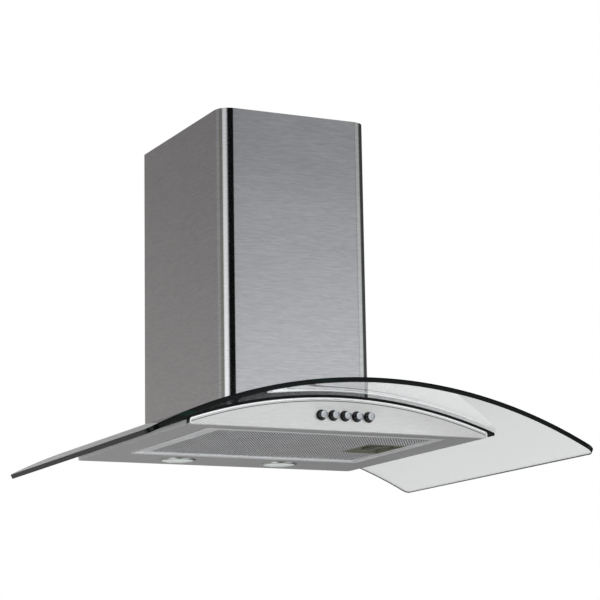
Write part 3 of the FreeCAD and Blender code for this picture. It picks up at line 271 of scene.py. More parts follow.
GRAIN = build_grain_group()
WEAR = build_wear_group()


class Finish:
    """One material under construction: its tree, its shader and the object coordinates."""

    def __init__(self, name):
        self.material = bpy.data.materials.new(name)
        self.material.use_nodes = True
        self.tree = self.material.node_tree
        self.shader = self.tree.nodes["Principled BSDF"]
        self.place = self.tree.nodes.new("ShaderNodeTexCoord").outputs["Object"]

    def set(self, **values):
        for label, value in values.items():
            self.shader.inputs[label.replace("_", " ")].default_value = value
        return self

    def drive(self, label, value):
        self.tree.links.new(value, self.shader.inputs[label])
        return self

    def group(self, group, **values):
        node = self.tree.nodes.new("ShaderNodeGroup")
        node.node_tree = group
        self.tree.links.new(self.place, node.inputs["Vector"])
        for label, value in values.items():
            node.inputs[label].default_value = value
        return node.outputs

    def bump(self, height, distance, strength):
        node = self.tree.nodes.new("ShaderNodeBump")
        node.inputs["Strength"].default_value = strength
        node.inputs["Distance"].default_value = distance
        self.tree.links.new(height, node.inputs["Height"])
        return self.drive("Normal", node.outputs["Normal"])


def painted_rim_shade_mask(tree, place, radius):
    """A painted shade hairline that follows an arch about the canopy's axis."""
    parts = tree.nodes.new("ShaderNodeSeparateXYZ")
    tree.links.new(place, parts.inputs[0])
    height = math_node(tree, "SUBTRACT", parts.outputs["Z"], ARC_CENTRE)
    width_squared = math_node(tree, "MULTIPLY", parts.outputs["X"], parts.outputs["X"])
    height_squared = math_node(tree, "MULTIPLY", height, height)
    reach = math_node(tree, "SQRT", math_node(tree, "ADD", width_squared, height_squared))
    off = math_node(tree, "ABSOLUTE", math_node(tree, "SUBTRACT", reach, radius))
    return span(tree, off, RIM_SHADE_WIDTH / 4, RIM_SHADE_WIDTH / 2, 1.0, 0.0)


def with_painted_rim_shade(tree, colour, mask):
    """The colour, with painted shade where the mask is."""
    node = tree.nodes.new("ShaderNodeMix")
    node.data_type = "RGBA"
    tree.links.new(colour, node.inputs["A"])
    node.inputs["B"].default_value = (*PAINTED_RIM_SHADE, 1)
    tree.links.new(mask, node.inputs["Factor"])
    return node.outputs["Result"]


def brushed_finish(name, dark, light, rough_low, rough_high, anisotropic, metallic=1.0, rim_shade_radius=None):
    """Stainless sheet brushed from side to side. Given a radius, a painted shade line follows that arch."""
    finish = Finish(name).set(Metallic=metallic, Anisotropic=anisotropic, Anisotropic_Rotation=QUARTER_TURN)
    tangent = finish.tree.nodes.new("ShaderNodeTangent")
    tangent.direction_type = "RADIAL"
    tangent.axis = "Z"
    finish.drive("Tangent", tangent.outputs["Tangent"])
    grain = finish.group(GRAIN)
    wear = finish.group(WEAR)
    mixed = math_node(finish.tree, "ADD", math_node(finish.tree, "MULTIPLY", grain["Streaks"], 0.7),
                      math_node(finish.tree, "MULTIPLY", grain["Clouds"], 0.3))
    colour = tinted(finish.tree, mixed, dark, light)
    # Paint a dark shade line along the arch at the given radius.
    if rim_shade_radius:
        colour = with_painted_rim_shade(finish.tree, colour, painted_rim_shade_mask(finish.tree, finish.place, rim_shade_radius))
    finish.drive("Base Color", colour)
    rough = span(finish.tree, grain["Clouds"], 0.3, 0.7, rough_low, rough_high)
    smudged = math_node(finish.tree, "ADD", rough, math_node(finish.tree, "MULTIPLY", wear["Smudge"], 0.01))
    finish.drive("Roughness", smudged)
    return finish.bump(grain["Height"], POLISH_GRIT, 0.2).material


def painted_finish(name, dark, light, rough, grit, metallic=0.0):
    """Satin paint or plating with a faint orange peel, smudges and dust."""
    finish = Finish(name).set(Metallic=metallic)
    wear = finish.group(WEAR)
    finish.drive("Base Color", tinted(finish.tree, wear["Smudge"], dark, light))
    finish.drive("Roughness", span(finish.tree, wear["Smudge"], 0.0, 1.0, rough, rough + 0.1))
    return finish.bump(wear["Speckle"], grit, 0.4).material


def plastic_finish(name, dark, light, rough, grit=MOULD_GRIT, shine=0.5):
    """Moulded plastic with a spark-eroded texture."""
    finish = Finish(name).set(IOR=1.48, Specular_IOR_Level=shine)
    wear = finish.group(WEAR)
    mixed = math_node(finish.tree, "ADD", math_node(finish.tree, "MULTIPLY", wear["Speckle"], 0.6),
                      math_node(finish.tree, "MULTIPLY", wear["Dust"], 0.5), clamp=True)
    finish.drive("Base Color", tinted(finish.tree, mixed, dark, light))
    finish.drive("Roughness", span(finish.tree, wear["Smudge"], 0.0, 1.0, rough, rough + 0.12))
    return finish.bump(wear["Speckle"], grit, 0.5).material


def spangled_finish(name):
    """Galvanised sheet with its crystal pattern."""
    finish = Finish(name).set(Metallic=0.9)
    cells = finish.tree.nodes.new("ShaderNodeTexVoronoi")
    cells.inputs["Scale"].default_value = CRYSTAL_WAVES
    finish.tree.links.new(finish.place, cells.inputs["Vector"])
    parts = finish.tree.nodes.new("ShaderNodeSeparateColor")
    finish.tree.links.new(cells.outputs["Color"], parts.inputs[0])
    shade = parts.outputs[0]
    finish.drive("Base Color", tinted(finish.tree, shade, (0.43, 0.44, 0.45), (0.60, 0.61, 0.62)))
    finish.drive("Roughness", span(finish.tree, shade, 0.0, 1.0, 0.34, 0.52))
    wear = finish.group(WEAR)
    return finish.bump(wear["Speckle"], ROUGH_GRIT, 0.4).material


def glass_finish(name, tint, rough_high, clear=1.0):
    """Clear or clouded glass with faint smears, which only change its gloss."""
    finish = Finish(name).set(IOR=1.45, Transmission_Weight=clear, Base_Color=(*tint, 1))
    wear = finish.group(WEAR, Scale=0.4)
    return finish.drive("Roughness", span(finish.tree, wear["Smudge"], 0.0, 1.0, 0.0, rough_high)).material


def glass_edge_finish(name, dark, light):
    """Ground and polished edge of the canopy, painted near-black in place of the dark it mirrors, with
    painted green glints.
    """
    finish = Finish(name).set(IOR=1.5, Specular_IOR_Level=0.12)
    glint_noise = noise(finish.tree, stretched(finish.tree, finish.place, EDGE_GLINT_WAVES), 1.0, 3.0, 0.5)
    glint_mask = span(finish.tree, glint_noise, 0.60, 0.80)
    finish.drive("Base Color", tinted(finish.tree, glint_mask, dark, light))
    finish.drive("Roughness", span(finish.tree, glint_noise, 0.3, 0.7, 0.12, 0.25))
    return finish.material


STEEL = brushed_finish("chimney_steel", (0.42, 0.42, 0.43), (0.54, 0.54, 0.55), 0.16, 0.20, 0.7)
# The panel's steel has a painted shade line just inside its rim.
PANEL_STEEL = brushed_finish("panel_steel", (0.62, 0.62, 0.61), (0.72, 0.72, 0.71), 0.18, 0.22, 0.6, 0.45,
                             PANEL_RADIUS - RIM_SHADE_INSET)
BODY_GREY = painted_finish("body_satin", (0.68, 0.68, 0.69), (0.74, 0.74, 0.75), 0.30, POLISH_GRIT, 1.0)
# The pan's side walls: a lighter, non-metallic copy of the body's finish. This is painted light in place of
# the bright reflection on those walls.
SIDE_PAINTED_LIGHT = painted_finish("side_painted_light", (0.80, 0.80, 0.81), (0.86, 0.86, 0.87), 0.40, POLISH_GRIT)
TRIM = painted_finish("polished_trim", (0.78, 0.78, 0.79), (0.88, 0.88, 0.89), 0.08, POLISH_GRIT, 1.0)
LAMP_TRIM = painted_finish("lamp_trim", (0.52, 0.52, 0.52), (0.62, 0.62, 0.62), 0.22, POLISH_GRIT, 1.0)
CAP_METAL = painted_finish("cap_metal", (0.55, 0.57, 0.60), (0.68, 0.70, 0.73), 0.28, SATIN_GRIT, 1.0)
REFLECTOR = painted_finish("mirror_cup", (0.70, 0.70, 0.70), (0.86, 0.86, 0.86), 0.10, SATIN_GRIT, 1.0)
LIP_TRIM = painted_finish("folded_trim", (0.84, 0.85, 0.86), (0.92, 0.92, 0.93), 0.14, POLISH_GRIT, 0.75)
FRAME_METAL = painted_finish("frame_aluminium", (0.74, 0.75, 0.76), (0.84, 0.85, 0.86),
                             0.34, SATIN_GRIT, 0.75)
ALUMINIUM = painted_finish("mill_aluminium", (0.50, 0.50, 0.51), (0.62, 0.62, 0.63), 0.36, ROUGH_GRIT, 0.9)
STRAND_METAL = painted_finish("strand_metal", (0.42, 0.425, 0.435), (0.50, 0.505, 0.515),
                              0.38, ROUGH_GRIT, 0.3)
# The filter's foil core: near-black, much darker than bare aluminium. This is painted shade for the inside
# of the filter.
FOIL_PAINTED_SHADE = painted_finish("foil_painted_shade", (0.10, 0.10, 0.105), (0.16, 0.16, 0.165), 0.5, ROUGH_GRIT, 0.6)
ZINC = painted_finish("zinc_plate", (0.50, 0.50, 0.46), (0.64, 0.64, 0.60), 0.30, ROUGH_GRIT, 1.0)
ENAMEL = painted_finish("motor_enamel", (0.035, 0.038, 0.042), (0.060, 0.063, 0.068), 0.35, 2 * ROUGH_GRIT)
SPANGLE = spangled_finish("galvanised")
RUBBER = plastic_finish("seal_rubber", (0.005, 0.005, 0.006), (0.014, 0.014, 0.014), 0.55, shine=0.15)
BLACK = plastic_finish("gloss_black", (0.006, 0.006, 0.007), (0.018, 0.018, 0.019), 0.30, ROUGH_GRIT)
LATCH_DARK = plastic_finish("latch_moulding", (0.066, 0.068, 0.050), (0.090, 0.092, 0.070),
                            0.40, 2 * SATIN_GRIT)
OLIVE = plastic_finish("olive_moulding", (0.135, 0.140, 0.102), (0.172, 0.176, 0.134), 0.45)
GREY_PLASTIC = plastic_finish("grey_moulding", (0.30, 0.31, 0.32), (0.42, 0.43, 0.44), 0.42)
GLASS = glass_finish("clear_sheet", (0.785, 0.80, 0.80), 0.02)
LAMP_GLASS = glass_finish("lens_glass", (0.80, 0.87, 0.82), 0.12, 0.15)
# The canopy's long edges: a painted dark reflection with painted green glints.
GLASS_EDGE = glass_edge_finish("front_edge_glass", (0.002, 0.003, 0.003), (0.003, 0.026, 0.015))
# The canopy's end edges: a painted dark grey, lighter than the long edges, standing in for light carried
# through the sheet, with faint painted glints.
GLASS_END = glass_edge_finish("end_edge_glass", (0.020, 0.021, 0.024), (0.026, 0.030, 0.030))


# ---------------------------------------------------------------- mesh helpers
def finish_piece(bm, name, body, materials, nodes, smooth=SHARP):
    """Turn a bmesh into a piece that rides on a body, with sharp edges kept sharp."""
    mesh = bpy.data.meshes.new(name)
    bm.to_mesh(mesh)
    bm.free()
    mesh.polygons.foreach_set("use_smooth", [True] * len(mesh.polygons))
    mesh.set_sharp_from_angle(angle=math.radians(smooth))
    for material in materials:
        mesh.materials.append(material)
    piece = bpy.data.objects.new(name, mesh)
    bpy.context.scene.collection.objects.link(piece)
    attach(piece, body)
    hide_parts(*nodes)
    return piece


def even_shading(piece):
    """Let the large faces set the normals, so that narrow rounded edges don't bend them."""
    weights = piece.modifiers.new("even_shading", "WEIGHTED_NORMAL")
    weights.keep_sharp = True
    weights.weight = 100


def cuboid(bm, low, high):
    """A box between two corners; returns its vertices."""
    size = high - low
    made = bmesh.ops.create_cube(bm, size=1.0)["verts"]
    bmesh.ops.scale(bm, vec=size, verts=made)
    bmesh.ops.translate(bm, vec=(low + high) / 2, verts=made)
    return made


def round_edges(bm, edges, offset, segments=2):
    if edges:
        bmesh.ops.bevel(bm, geom=edges, offset=offset, segments=segments, profile=0.5,
                        affect="EDGES", material=-1, clamp_overlap=True)


def sharp_edges(bm, angle):
    limit = math.radians(angle)
    return [edge for edge in bm.edges if len(edge.link_faces) == 2 and edge.calc_face_angle() > limit]


def cut_at(bm, point, normal, clear_outer=False):
    """Cut the whole mesh by one plane; returns the edges of the cut."""
    geometry = bm.verts[:] + bm.edges[:] + bm.faces[:]
    cut = bmesh.ops.bisect_plane(bm, geom=geometry, dist=CUT_WITHIN, plane_co=point, plane_no=normal,
                                 clear_outer=clear_outer)
    return [item for item in cut["geom_cut"] if isinstance(item, bmesh.types.BMEdge)]


def slice_across(bm, low, high):
    """Cut the whole mesh by even upright planes, close enough together for it to bend smoothly."""
    count = max(1, round((high - low) / BEND_STEP))
    sideways = Vector((1, 0, 0))
    for number in range(1, count):
        cut_at(bm, sideways * (low + (high - low) * number / count), sideways)


def spun(profile, centre, axis, steps=48):
    """A turned shape: profile points are (radius, distance along the axis)."""
    bm = bmesh.new()
    side = axis.orthogonal().normalized()
    verts = [bm.verts.new(centre + side * radius + axis * along) for radius, along in profile]
    edges = [bm.edges.new(pair) for pair in zip(verts, verts[1:])]
    bmesh.ops.spin(bm, geom=verts + edges, cent=centre, axis=axis, angle=math.tau, steps=steps,
                   use_merge=True, use_duplicate=False)
    bmesh.ops.remove_doubles(bm, verts=bm.verts[:], dist=MERGE_WITHIN)
    bmesh.ops.recalc_face_normals(bm, faces=bm.faces[:])
    return bm


def refined(node, offset=FINE_ROUND, segments=2):
    """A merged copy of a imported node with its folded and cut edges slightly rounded."""
    bm = bmesh.new()
    bm.from_mesh(NODES[node].data)
    bmesh.ops.remove_doubles(bm, verts=bm.verts[:], dist=MERGE_WITHIN)
    bmesh.ops.dissolve_limit(bm, angle_limit=math.radians(SAME_PLANE), verts=bm.verts[:],
                             edges=bm.edges[:])
    round_edges(bm, sharp_edges(bm, SHARP), offset, segments)
    return bm


def dress(node, material):
    """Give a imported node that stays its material."""
    mesh = NODES[node].data
    if not mesh.materials:
        mesh.materials.append(material)
    for index in range(len(mesh.materials)):
        mesh.materials[index] = material


# ---------------------------------------------------------------- canopy
def bent(point):
    """Roll a flat point (x along the arc, z above the sheet) onto the canopy's upper arc."""
    turn = point.x / GLASS_RADIUS
    reach = GLASS_RADIUS + point.z
    return Vector((reach * math.sin(turn), point.y, ARC_CENTRE + reach * math.cos(turn)))


def arc_height(x):
    return ARC_CENTRE + math.sqrt(GLASS_RADIUS * GLASS_RADIUS - x * x)


def glass_canopy():
    """The sheet, drawn flat with its notch for the chimney, then rolled to its arc."""
    low, high, _ = box_of("glass_canopy")
    seal_low, seal_high, _ = box_of("cutout_seal")
    half = GLASS_RADIUS * math.asin(high.x / GLASS_RADIUS)
    notch = GLASS_RADIUS * math.asin(seal_high.x / GLASS_RADIUS)
    corners = [(-half, low.y), (half, low.y), (half, high.y), (notch, high.y), (notch, seal_low.y),
               (-notch, seal_low.y), (-notch, high.y), (-half, high.y)]
    bm = bmesh.new()
    verts = [bm.verts.new((x, y, 0)) for x, y in corners]
    bm.faces.new(verts)
    front = [v for v in bm.verts if abs(v.co.y - low.y) < MM]
    back = [v for v in bm.verts if abs(v.co.y - high.y) < MM and abs(v.co.x) > half - MM]
    for chosen, radius in ((front, GLASS_FRONT_CORNER), (back, GLASS_BACK_CORNER)):
        bmesh.ops.bevel(bm, geom=chosen, offset=radius, segments=CORNER_STEPS, profile=0.5,
                        affect="VERTICES", material=-1)
    slice_across(bm, -half, half)
    grown = bmesh.ops.extrude_face_region(bm, geom=bm.faces[:])
    lifted = [item for item in grown["geom"] if isinstance(item, bmesh.types.BMVert)]
    bmesh.ops.translate(bm, vec=(0, 0, -GLASS_THICKNESS), verts=lifted)
    bmesh.ops.recalc_face_normals(bm, faces=bm.faces[:])
    round_edges(bm, sharp_edges(bm, SHEET_SHARP), GLASS_EDGE_ROUND, EDGE_STEPS)
    bm.normal_update()
    sheet, long_edge, end_edge = range(3)
    for face in bm.faces:
        if abs(face.normal.z) > FLAT:
            face.material_index = sheet
        else:
            face.material_index = end_edge if abs(face.normal.x) > FACING else long_edge
    for vert in bm.verts:
        vert.co = bent(vert.co)
    even_shading(finish_piece(bm, "canopy", "hood", [GLASS, GLASS_EDGE, GLASS_END], ["glass_canopy"]))


# ---------------------------------------------------------------- chimney
def chimney_skin(name, body, node, corner, foot):
    """A folded cover: rounded front corners, open back with two flanges, thin sheet. Its foot, where
    it stands on the glass, is cut to the glass's arc."""
    low, high, _ = box_of(node)
    bm = bmesh.new()
    cuboid(bm, low, high)
    upright = [edge for edge in bm.edges
               if abs(edge.verts[0].co.z - edge.verts[1].co.z) > MM
               and edge.verts[0].co.y < (low.y + high.y) / 2]
    round_edges(bm, upright, corner, FOLD_STEPS)
    bm.normal_update()
    ends = [face for face in bm.faces if abs(face.normal.z) > FACING]
    bmesh.ops.delete(bm, geom=ends, context="FACES")
    for side in (-1, 1):
        cut_at(bm, Vector((side * (high.x - CHIMNEY_FLANGE), 0, 0)), Vector((1, 0, 0)))
    middle = [face for face in bm.faces
              if face.normal.y > FACING and abs(face.calc_center_median().x) < high.x - CHIMNEY_FLANGE]
    bmesh.ops.delete(bm, geom=middle, context="FACES")
    slice_across(bm, low.x, high.x)
    if foot:
        for vert in bm.verts:
            if vert.co.z < low.z + MM:
                vert.co.z = arc_height(vert.co.x)
    piece = finish_piece(bm, name, body, [STEEL], [node])
    wall = piece.modifiers.new("sheet", "SOLIDIFY")
    wall.thickness = CHIMNEY_SHEET
    wall.offset = -1
    wall.use_even_offset = True
    even_shading(piece)


def chimney():
    chimney_skin("outer_cover", "hood", "chimney_cover", CHIMNEY_CORNER, True)
    chimney_skin("inner_cover", "extension", "chimney_extension", CHIMNEY_CORNER - CHIMNEY_STEP, False)


# ---------------------------------------------------------------- body and panel
def refined_piece(name, body, node, material, offset=FINE_ROUND, segments=2):
    even_shading(finish_piece(refined(node, offset, segments), name, body, [material], [node]))


def steel_body():
    pan = refined("casing", PAN_ROUND)
    pan.normal_update()
    underside, side_wall = range(2)
    for face in pan.faces:
        # The side walls get the lighter copy, which is painted light.
        face.material_index = side_wall if abs(face.normal.x) > FACING else underside
    even_shading(finish_piece(pan, "body_pan", "hood", [BODY_GREY, SIDE_PAINTED_LIGHT], ["casing"]))
    refined_piece("arched_plate", "hood", "top_plate", BODY_GREY, THIN_ROUND)
    refined_piece("canopy_gasket", "hood", "glass_seal", RUBBER, SEAL_ROUND)
    fascia()
    refined_piece("fascia_rim", "hood", "panel_rim", TRIM, RIM_ROUND, EDGE_STEPS)
    refined_piece("fascia_backing", "hood", "panel_backing", BLACK)
    opening_lip()


def opening_lip():
    """The folded lip: flush along its front side, and a little deeper along its back side."""
    low, high, _ = box_of("filter_lip")
    bm = refined("filter_lip")
    for vert in bm.verts:
        if vert.co.z < 0 and vert.co.y < low.y + LIP_FLANGE:
            vert.co.z = -LIP_FLUSH
        elif vert.co.z < 0 and vert.co.y > high.y - LIP_FLANGE:
            vert.co.z -= LIP_DEEPER
    even_shading(finish_piece(bm, "opening_lip", "hood", [LIP_TRIM], ["filter_lip"]))


def fascia():
    """The front panel, its sides and top drawn in a little from its rim."""
    _, high, _ = box_of("control_panel")
    bm = refined("control_panel", MOULD_ROUND)
    bm.normal_update()
    moves = []
    for vert in bm.verts:
        edge = arc_height(vert.co.x) - arc_height(0) + high.z
        outward = [face.normal for face in vert.link_faces
                   if face.normal.z > LOOKS_UP and abs(face.normal.y) < FACING
                   or face.normal.x * vert.co.x > FACING * abs(vert.co.x)]
        if outward and (edge - vert.co.z < RIM_NEAR or high.x - abs(vert.co.x) < RIM_NEAR):
            across = sum(outward, Vector())
            across.y = 0
            if across.length > 0:
                moves.append((vert, across.normalized()))
    for vert, across in moves:
        vert.co -= across * RIM_LINE
    even_shading(finish_piece(bm, "fascia", "hood", [PANEL_STEEL], ["control_panel"]))


def buttons():
    """Five black barrels, each with a dished metal cap that has a ring pressed into it."""
    forward = Vector((0, -1, 0))
    for number in range(1, 6):
        body = "button_%d" % number
        low, high, middle = box_of(body)
        cap_low, cap_high, _ = box_of("button_cap_%d" % number)
        radius = (high.x - low.x) / 2
        centre = Vector((middle.x, 0, (low.z + high.z) / 2))
        back, shoulder, front = -high.y, -high.y + BARREL_LENGTH, -low.y
        edge = [(radius - inward, front - behind) for inward, behind in BARREL_EDGE]
        profile = [(0, back), (BARREL_STEM, back), (BARREL_STEM, shoulder), (radius, shoulder), *edge,
                   (0, front)]
        bm = spun(profile, centre, forward)
        finish_piece(bm, "push_button_%d" % number, body, [BLACK], [body])
        radius = (cap_high.x - cap_low.x) / 2
        back, dish, front = -cap_high.y, -cap_low.y - CAP_DISH, -cap_low.y
        groove = front - RING_DEEP
        profile = [(0, back), (radius, back), (radius, front - CAP_SLOPE), (radius - CAP_RIM / 2, front),
                   (radius - CAP_RIM, front), (radius - CAP_RIM - CAP_SLOPE, dish), (RING_OUTER, dish),
                   (RING_OUTER - RING_SLOPE, groove), (RING_INNER + RING_SLOPE, groove),
                   (RING_INNER, dish), (0, front - CAP_MIDDLE)]
        bm = spun(profile, centre, forward)
        finish_piece(bm, "push_cap_%d" % number, body, [CAP_METAL], ["button_cap_%d" % number])
    refined_piece("button_rings", "hood", "button_collars", BLACK, HAIR_ROUND)


# ---------------------------------------------------------------- grease filter
def strand_layer(bm, low, high, slope, level, thickness, broad):
    """Parallel slanting strands that cover a rectangle and reach past its sides."""
    width = high.x - low.x
    depth = high.y - low.y
    run = depth * slope
    count = int((width + abs(run)) / STRAND_PITCH)
    for number in range(count):
        start = low.x - max(run, 0) + number * STRAND_PITCH
        made = cuboid(bm, Vector((start, low.y, level)), Vector((start + broad, high.y, level + thickness)))
        for vert in made:
            vert.co.x += (vert.co.y - low.y) * slope


def clip_box(bm, low, high):
    """Cut the mesh off outside a rectangle seen from below and close the cuts."""
    for axis, limit, sign in ((0, low.x, -1), (0, high.x, 1), (1, low.y, -1), (1, high.y, 1)):
        normal = Vector((0, 0, 0))
        normal[axis] = sign
        point = Vector((0, 0, 0))
        point[axis] = limit
        bmesh.ops.edgeloop_fill(bm, edges=cut_at(bm, point, normal, True))


def expanded_mesh(name, node, above):
    """Expanded metal: two layers of slanting strands, with the latch cup's place left free."""
    low, high, _ = box_of(node)
    cup_low, cup_high, _ = box_of("latch_cup")
    inset = Vector((MESH_INSET, MESH_INSET, 0))
    low = low + inset
    high = high - inset
    middle = (low.z + high.z) / 2
    areas = [
        (low, Vector((cup_low.x, high.y, high.z))),
        (Vector((cup_low.x, low.y, low.z)), Vector((high.x, cup_low.y, high.z))),
        (Vector((cup_low.x, cup_high.y, low.z)), high),
    ]
    whole = bmesh.new()
    for corner_low, corner_high in areas:
        bm = bmesh.new()
        strand_layer(bm, corner_low, corner_high, STRAND_LEAN, middle if above else low.z, STRAND_THICKNESS,
                     STRAND_WIDTH)
        strand_layer(bm, corner_low, corner_high, -STRAND_LEAN, low.z if above else middle,
                     STRAND_THICKNESS / 2, STRAND_WIDTH / 3)
        clip_box(bm, corner_low, corner_high)
        mesh = bpy.data.meshes.new("strands")
        bm.to_mesh(mesh)
        bm.free()
        whole.from_mesh(mesh)
        bpy.data.meshes.remove(mesh)
    bmesh.ops.recalc_face_normals(whole, faces=whole.faces[:])
    finish_piece(whole, name, "grease_filter", [STRAND_METAL], [node],
                 STRAND_SHARP)


def grease_filter():
    refined_piece("cassette_frame", "grease_filter", "filter_frame", FRAME_METAL)
    expanded_mesh("outer_mesh", "filter_outer_mesh", False)
    expanded_mesh("inner_mesh", "filter_inner_mesh", True)
    # The core behind the strands carries painted shade.
    dress("filter_core", FOIL_PAINTED_SHADE)
    refined_piece("latch_recess", "grease_filter", "latch_cup", OLIVE, MOULD_ROUND)
    refined_piece("latch_slider", "latch_slider", "filter_latch", LATCH_DARK, MOULD_ROUND)


# ---------------------------------------------------------------- lamps
def lamps():
    """Two round lamps: a lens in a ring, with the mirror cup and the bulb behind it. The lens bulges by
    a cosine curve, which stops at DOME_SWEEP radians."""
    for side in ("left", "right"):
        low, high, middle = box_of("lamp_lens_" + side)
        radius = (high.x - low.x) / 2
        centre = Vector((middle.x, middle.y, 0))
        parts = [step / DOME_STEPS for step in range(DOME_STEPS + 1)]
        dome = [(radius * part, low.z + (1 - math.cos(part * DOME_SWEEP)) * DOME_DEPTH) for part in parts]
        back = [(radius, high.z), (radius - LENS_RIM, high.z), (0, high.z - LENS_HOLLOW)]
        bm = spun(dome + back, centre, UP, 64)
        finish_piece(bm, "lamp_glass_" + side, "hood", [LAMP_GLASS], ["lamp_lens_" + side])
        refined_piece("lamp_trim_" + side, "hood", "lamp_ring_" + side, LAMP_TRIM)
        dress("lamp_cup_" + side, REFLECTOR)
        dress("lamp_bulb_" + side, LAMP_GLASS)


# ---------------------------------------------------------------- inside and back
def inner_parts():
    refined_piece("fan_box", "hood", "blower_box", SPANGLE)
    refined_piece("fan_box_cover", "hood", "blower_cover", SPANGLE)
    for side in ("left", "right"):
        refined_piece("angle_clamp_" + side, "hood", "glass_clamp_" + side, SPANGLE)
    for node, material in (
        ("cutout_seal", RUBBER), ("clamp_pads", RUBBER), ("case_screws", ZINC), ("flap_pins", ZINC),
        ("scroll_left", GREY_PLASTIC), ("scroll_right", GREY_PLASTIC), ("fan_motor", ENAMEL),
        ("motor_bracket", SPANGLE), ("fan_shaft", ZINC), ("fan_wheel", GREY_PLASTIC),
        ("fan_hub", GREY_PLASTIC), ("lamp_driver", GREY_PLASTIC), ("switch_modules", BLACK),
        ("switch_bracket", SPANGLE),
    ):
        dress(node, material)
    refined_piece("duct_spigot", "hood", "outlet_spigot", GREY_PLASTIC)
    for side in ("left", "right"):
        refined_piece("flap_leaf_" + side, "flap_" + side, "outlet_flap_" + side, GREY_PLASTIC,
                      THIN_ROUND)
    refined_piece("capacitor_can", "hood", "motor_capacitor", ALUMINIUM)
    refined_piece("wiring_box", "hood", "terminal_box", GREY_PLASTIC, BOX_ROUND)
    refined_piece("gland", "hood", "cable_gland", BLACK)
    refined_piece("top_bracket", "extension", "wall_bracket", SPANGLE, BRACKET_ROUND)


# ---------------------------------------------------------------- studio
def studio():
    """A pale floor far below and three soft lights, none of them mirrored by the hood."""
    bm = bmesh.new()
    bmesh.ops.create_grid(bm, x_segments=1, y_segments=1, size=FLOOR_HALF)
    bmesh.ops.translate(bm, vec=(0, 0, -FLOOR_DROP), verts=bm.verts[:])
    mesh = bpy.data.meshes.new("studio_floor")
    bm.to_mesh(mesh)
    bm.free()
    floor = bpy.data.objects.new("studio_floor", mesh)
    bpy.context.scene.collection.objects.link(floor)
    material = Finish("pale_floor").set(Base_Color=ROOM_GREY, Roughness=0.9).material
    mesh.materials.append(material)
    floor.visible_glossy = False

    for name, place, aim, size, power in (
        ("key_light", (-1.6, -2.2, 1.7), (0, -0.2, 0.1), 1.6, 26),
        ("fill_light", (1.9, -1.8, 0.9), (0, -0.2, 0.1), 1.8, 14),
        ("under_light", (0.2, -1.0, -1.1), (0, -0.2, 0.0), 1.6, 9),
    ):
        data = bpy.data.lights.new(name, "AREA")
        data.size = size
        data.energy = power
        lamp = bpy.data.objects.new(name, data)
        lamp.location = place
        lamp.rotation_euler = (Vector(aim) - Vector(place)).to_track_quat("-Z", "Y").to_euler()
        lamp.visible_glossy = False
        lamp.visible_transmission = False
        bpy.context.scene.collection.objects.link(lamp)


# What polished faces mirror, by direction around the hood: degrees from +x towards +y, level where the
# chimney's foot mirrors it, level where its top does, tint. The first two rises are how steeply those
# two directions point up. The last two say how far the change from one level to the other goes on,
# counted from the foot in ways from foot to top: past the foot downwards, and upwards.
NEUTRAL = (1.0, 1.0, 1.0)
COOL = (0.968, 0.99, 1.015)
WARM = (1.03, 0.99, 0.97)
OLIVE_LIGHT = (1.02, 1.01, 0.93)
GREENISH = (0.97, 1.01, 0.98)
SCREENS = (
    (0, 0.12, 0.06, NEUTRAL), (40, 0.08, 0.04, NEUTRAL), (57, 0.18, 0.10, NEUTRAL),
    (67, 0.36, 0.38, NEUTRAL), (78, 0.38, 0.38, NEUTRAL),
    (100, 0.42, 0.26, WARM), (130, 0.43, 0.27, WARM), (150, 0.56, 0.36, NEUTRAL), (168, 0.56, 0.36, NEUTRAL),
    (174, 0.38, 0.20, OLIVE_LIGHT), (198, 0.36, 0.20, OLIVE_LIGHT), (203, 1.80, 0.78, GREENISH),
    (220, 1.85, 0.80, NEUTRAL), (235, 1.45, 0.62, COOL), (239, 0.0, 0.0, NEUTRAL),
    (281, 0.0, 0.0, NEUTRAL), (285, 0.06, 0.04, OLIVE_LIGHT), (289, 0.95, 0.22, COOL),
    (298, 1.18, 0.32, COOL), (301, 1.19, 0.32, COOL), (303, 0.20, 0.08, NEUTRAL), (307, 0.20, 0.08, NEUTRAL),
    (310, 1.20, 0.48, GREENISH), (340, 1.20, 0.48, GREENISH), (348, 0.16, 0.08, NEUTRAL),
)
FOOT_RISE = 0.148
TOP_RISE = 0.264
RISE_BELOW = 0.4
RISE_ABOVE = 1.0


def screen_ramp(tree, turn, column):
    """A colour by direction around the hood, from one column of the screens."""
    ramp = tree.nodes.new("ShaderNodeValToRGB")
    stops = ramp.color_ramp.elements
    stops.remove(stops[1])
    for number, screen in enumerate(SCREENS):
        degrees, tint = screen[0], screen[3]
        stop = stops[0] if number == 0 else stops.new(degrees / 360)
        stop.position = degrees / 360
        stop.color = (*(screen[column] * part for part in tint), 1)
    last = stops.new(1.0)
    last.color = stops[0].color
    tree.links.new(turn, ramp.inputs["Fac"])
    return ramp.outputs["Color"]


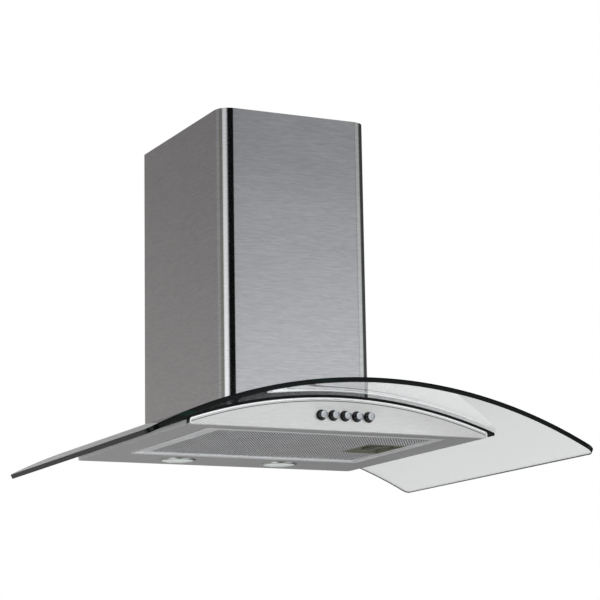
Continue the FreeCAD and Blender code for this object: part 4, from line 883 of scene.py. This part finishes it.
def world():
    """White background; reflections see a studio of screens, most of them brighter low down."""
    surroundings = bpy.data.worlds.new("studio")
    surroundings.use_nodes = True
    tree = surroundings.node_tree
    tree.nodes.clear()
    output = tree.nodes.new("ShaderNodeOutputWorld")
    background = tree.nodes.new("ShaderNodeBackground")
    direction = tree.nodes.new("ShaderNodeTexCoord").outputs["Generated"]
    parts = tree.nodes.new("ShaderNodeSeparateXYZ")
    tree.links.new(direction, parts.inputs[0])
    angle = math_node(tree, "ARCTAN2", parts.outputs["Y"], parts.outputs["X"])
    turn = math_node(tree, "FRACT", math_node(tree, "ADD", math_node(tree, "DIVIDE", angle, math.tau), 1.0))
    reach = TOP_RISE - FOOT_RISE
    rise = span(tree, parts.outputs["Z"], FOOT_RISE - RISE_BELOW * reach, FOOT_RISE + RISE_ABOVE * reach,
                -RISE_BELOW, RISE_ABOVE)
    mirrored = tree.nodes.new("ShaderNodeMix")
    mirrored.data_type = "RGBA"
    mirrored.clamp_factor = False
    tree.links.new(rise, mirrored.inputs["Factor"])
    foot_level, top_level = 1, 2
    tree.links.new(screen_ramp(tree, turn, foot_level), mirrored.inputs["A"])
    tree.links.new(screen_ramp(tree, turn, top_level), mirrored.inputs["B"])
    rays = tree.nodes.new("ShaderNodeLightPath")
    plain = math_node(tree, "MAXIMUM", rays.outputs["Is Camera Ray"], rays.outputs["Is Transmission Ray"])
    shown = tree.nodes.new("ShaderNodeMix")
    shown.data_type = "RGBA"
    shown.inputs["A"].default_value = ROOM_GREY
    tree.links.new(rays.outputs["Is Glossy Ray"], shown.inputs["Factor"])
    tree.links.new(mirrored.outputs["Result"], shown.inputs["B"])
    final = tree.nodes.new("ShaderNodeMix")
    final.data_type = "RGBA"
    final.inputs["B"].default_value = (1, 1, 1, 1)
    tree.links.new(plain, final.inputs["Factor"])
    tree.links.new(shown.outputs["Result"], final.inputs["A"])
    tree.links.new(final.outputs["Result"], background.inputs["Color"])
    tree.links.new(background.outputs["Background"], output.inputs["Surface"])
    bpy.context.scene.world = surroundings


def camera():
    """The photograph's viewpoint: low, in front and to the left."""
    place = (-1.20767, -2.73418, -0.35385)
    yaw = 0.4556
    pitch = 0.1936
    roll = -0.0167
    forward = Vector((math.sin(yaw) * math.cos(pitch), math.cos(yaw) * math.cos(pitch), math.sin(pitch)))
    level = Vector((math.cos(yaw), -math.sin(yaw), 0))
    above = level.cross(forward)
    right = math.cos(roll) * level + math.sin(roll) * above
    top = -math.sin(roll) * level + math.cos(roll) * above
    data = bpy.data.cameras.new("camera")
    data.lens = 130.33
    data.sensor_width = 36
    view = bpy.data.objects.new("camera", data)
    turn = Matrix((right, top, -forward)).transposed()
    view.matrix_world = Matrix.Translation(place) @ turn.to_4x4()
    bpy.context.scene.collection.objects.link(view)
    bpy.context.scene.camera = view


glass_canopy()
chimney()
steel_body()
buttons()
grease_filter()
lamps()
inner_parts()
studio()
world()
camera()
bpy.context.scene.view_settings.view_transform = "Standard"
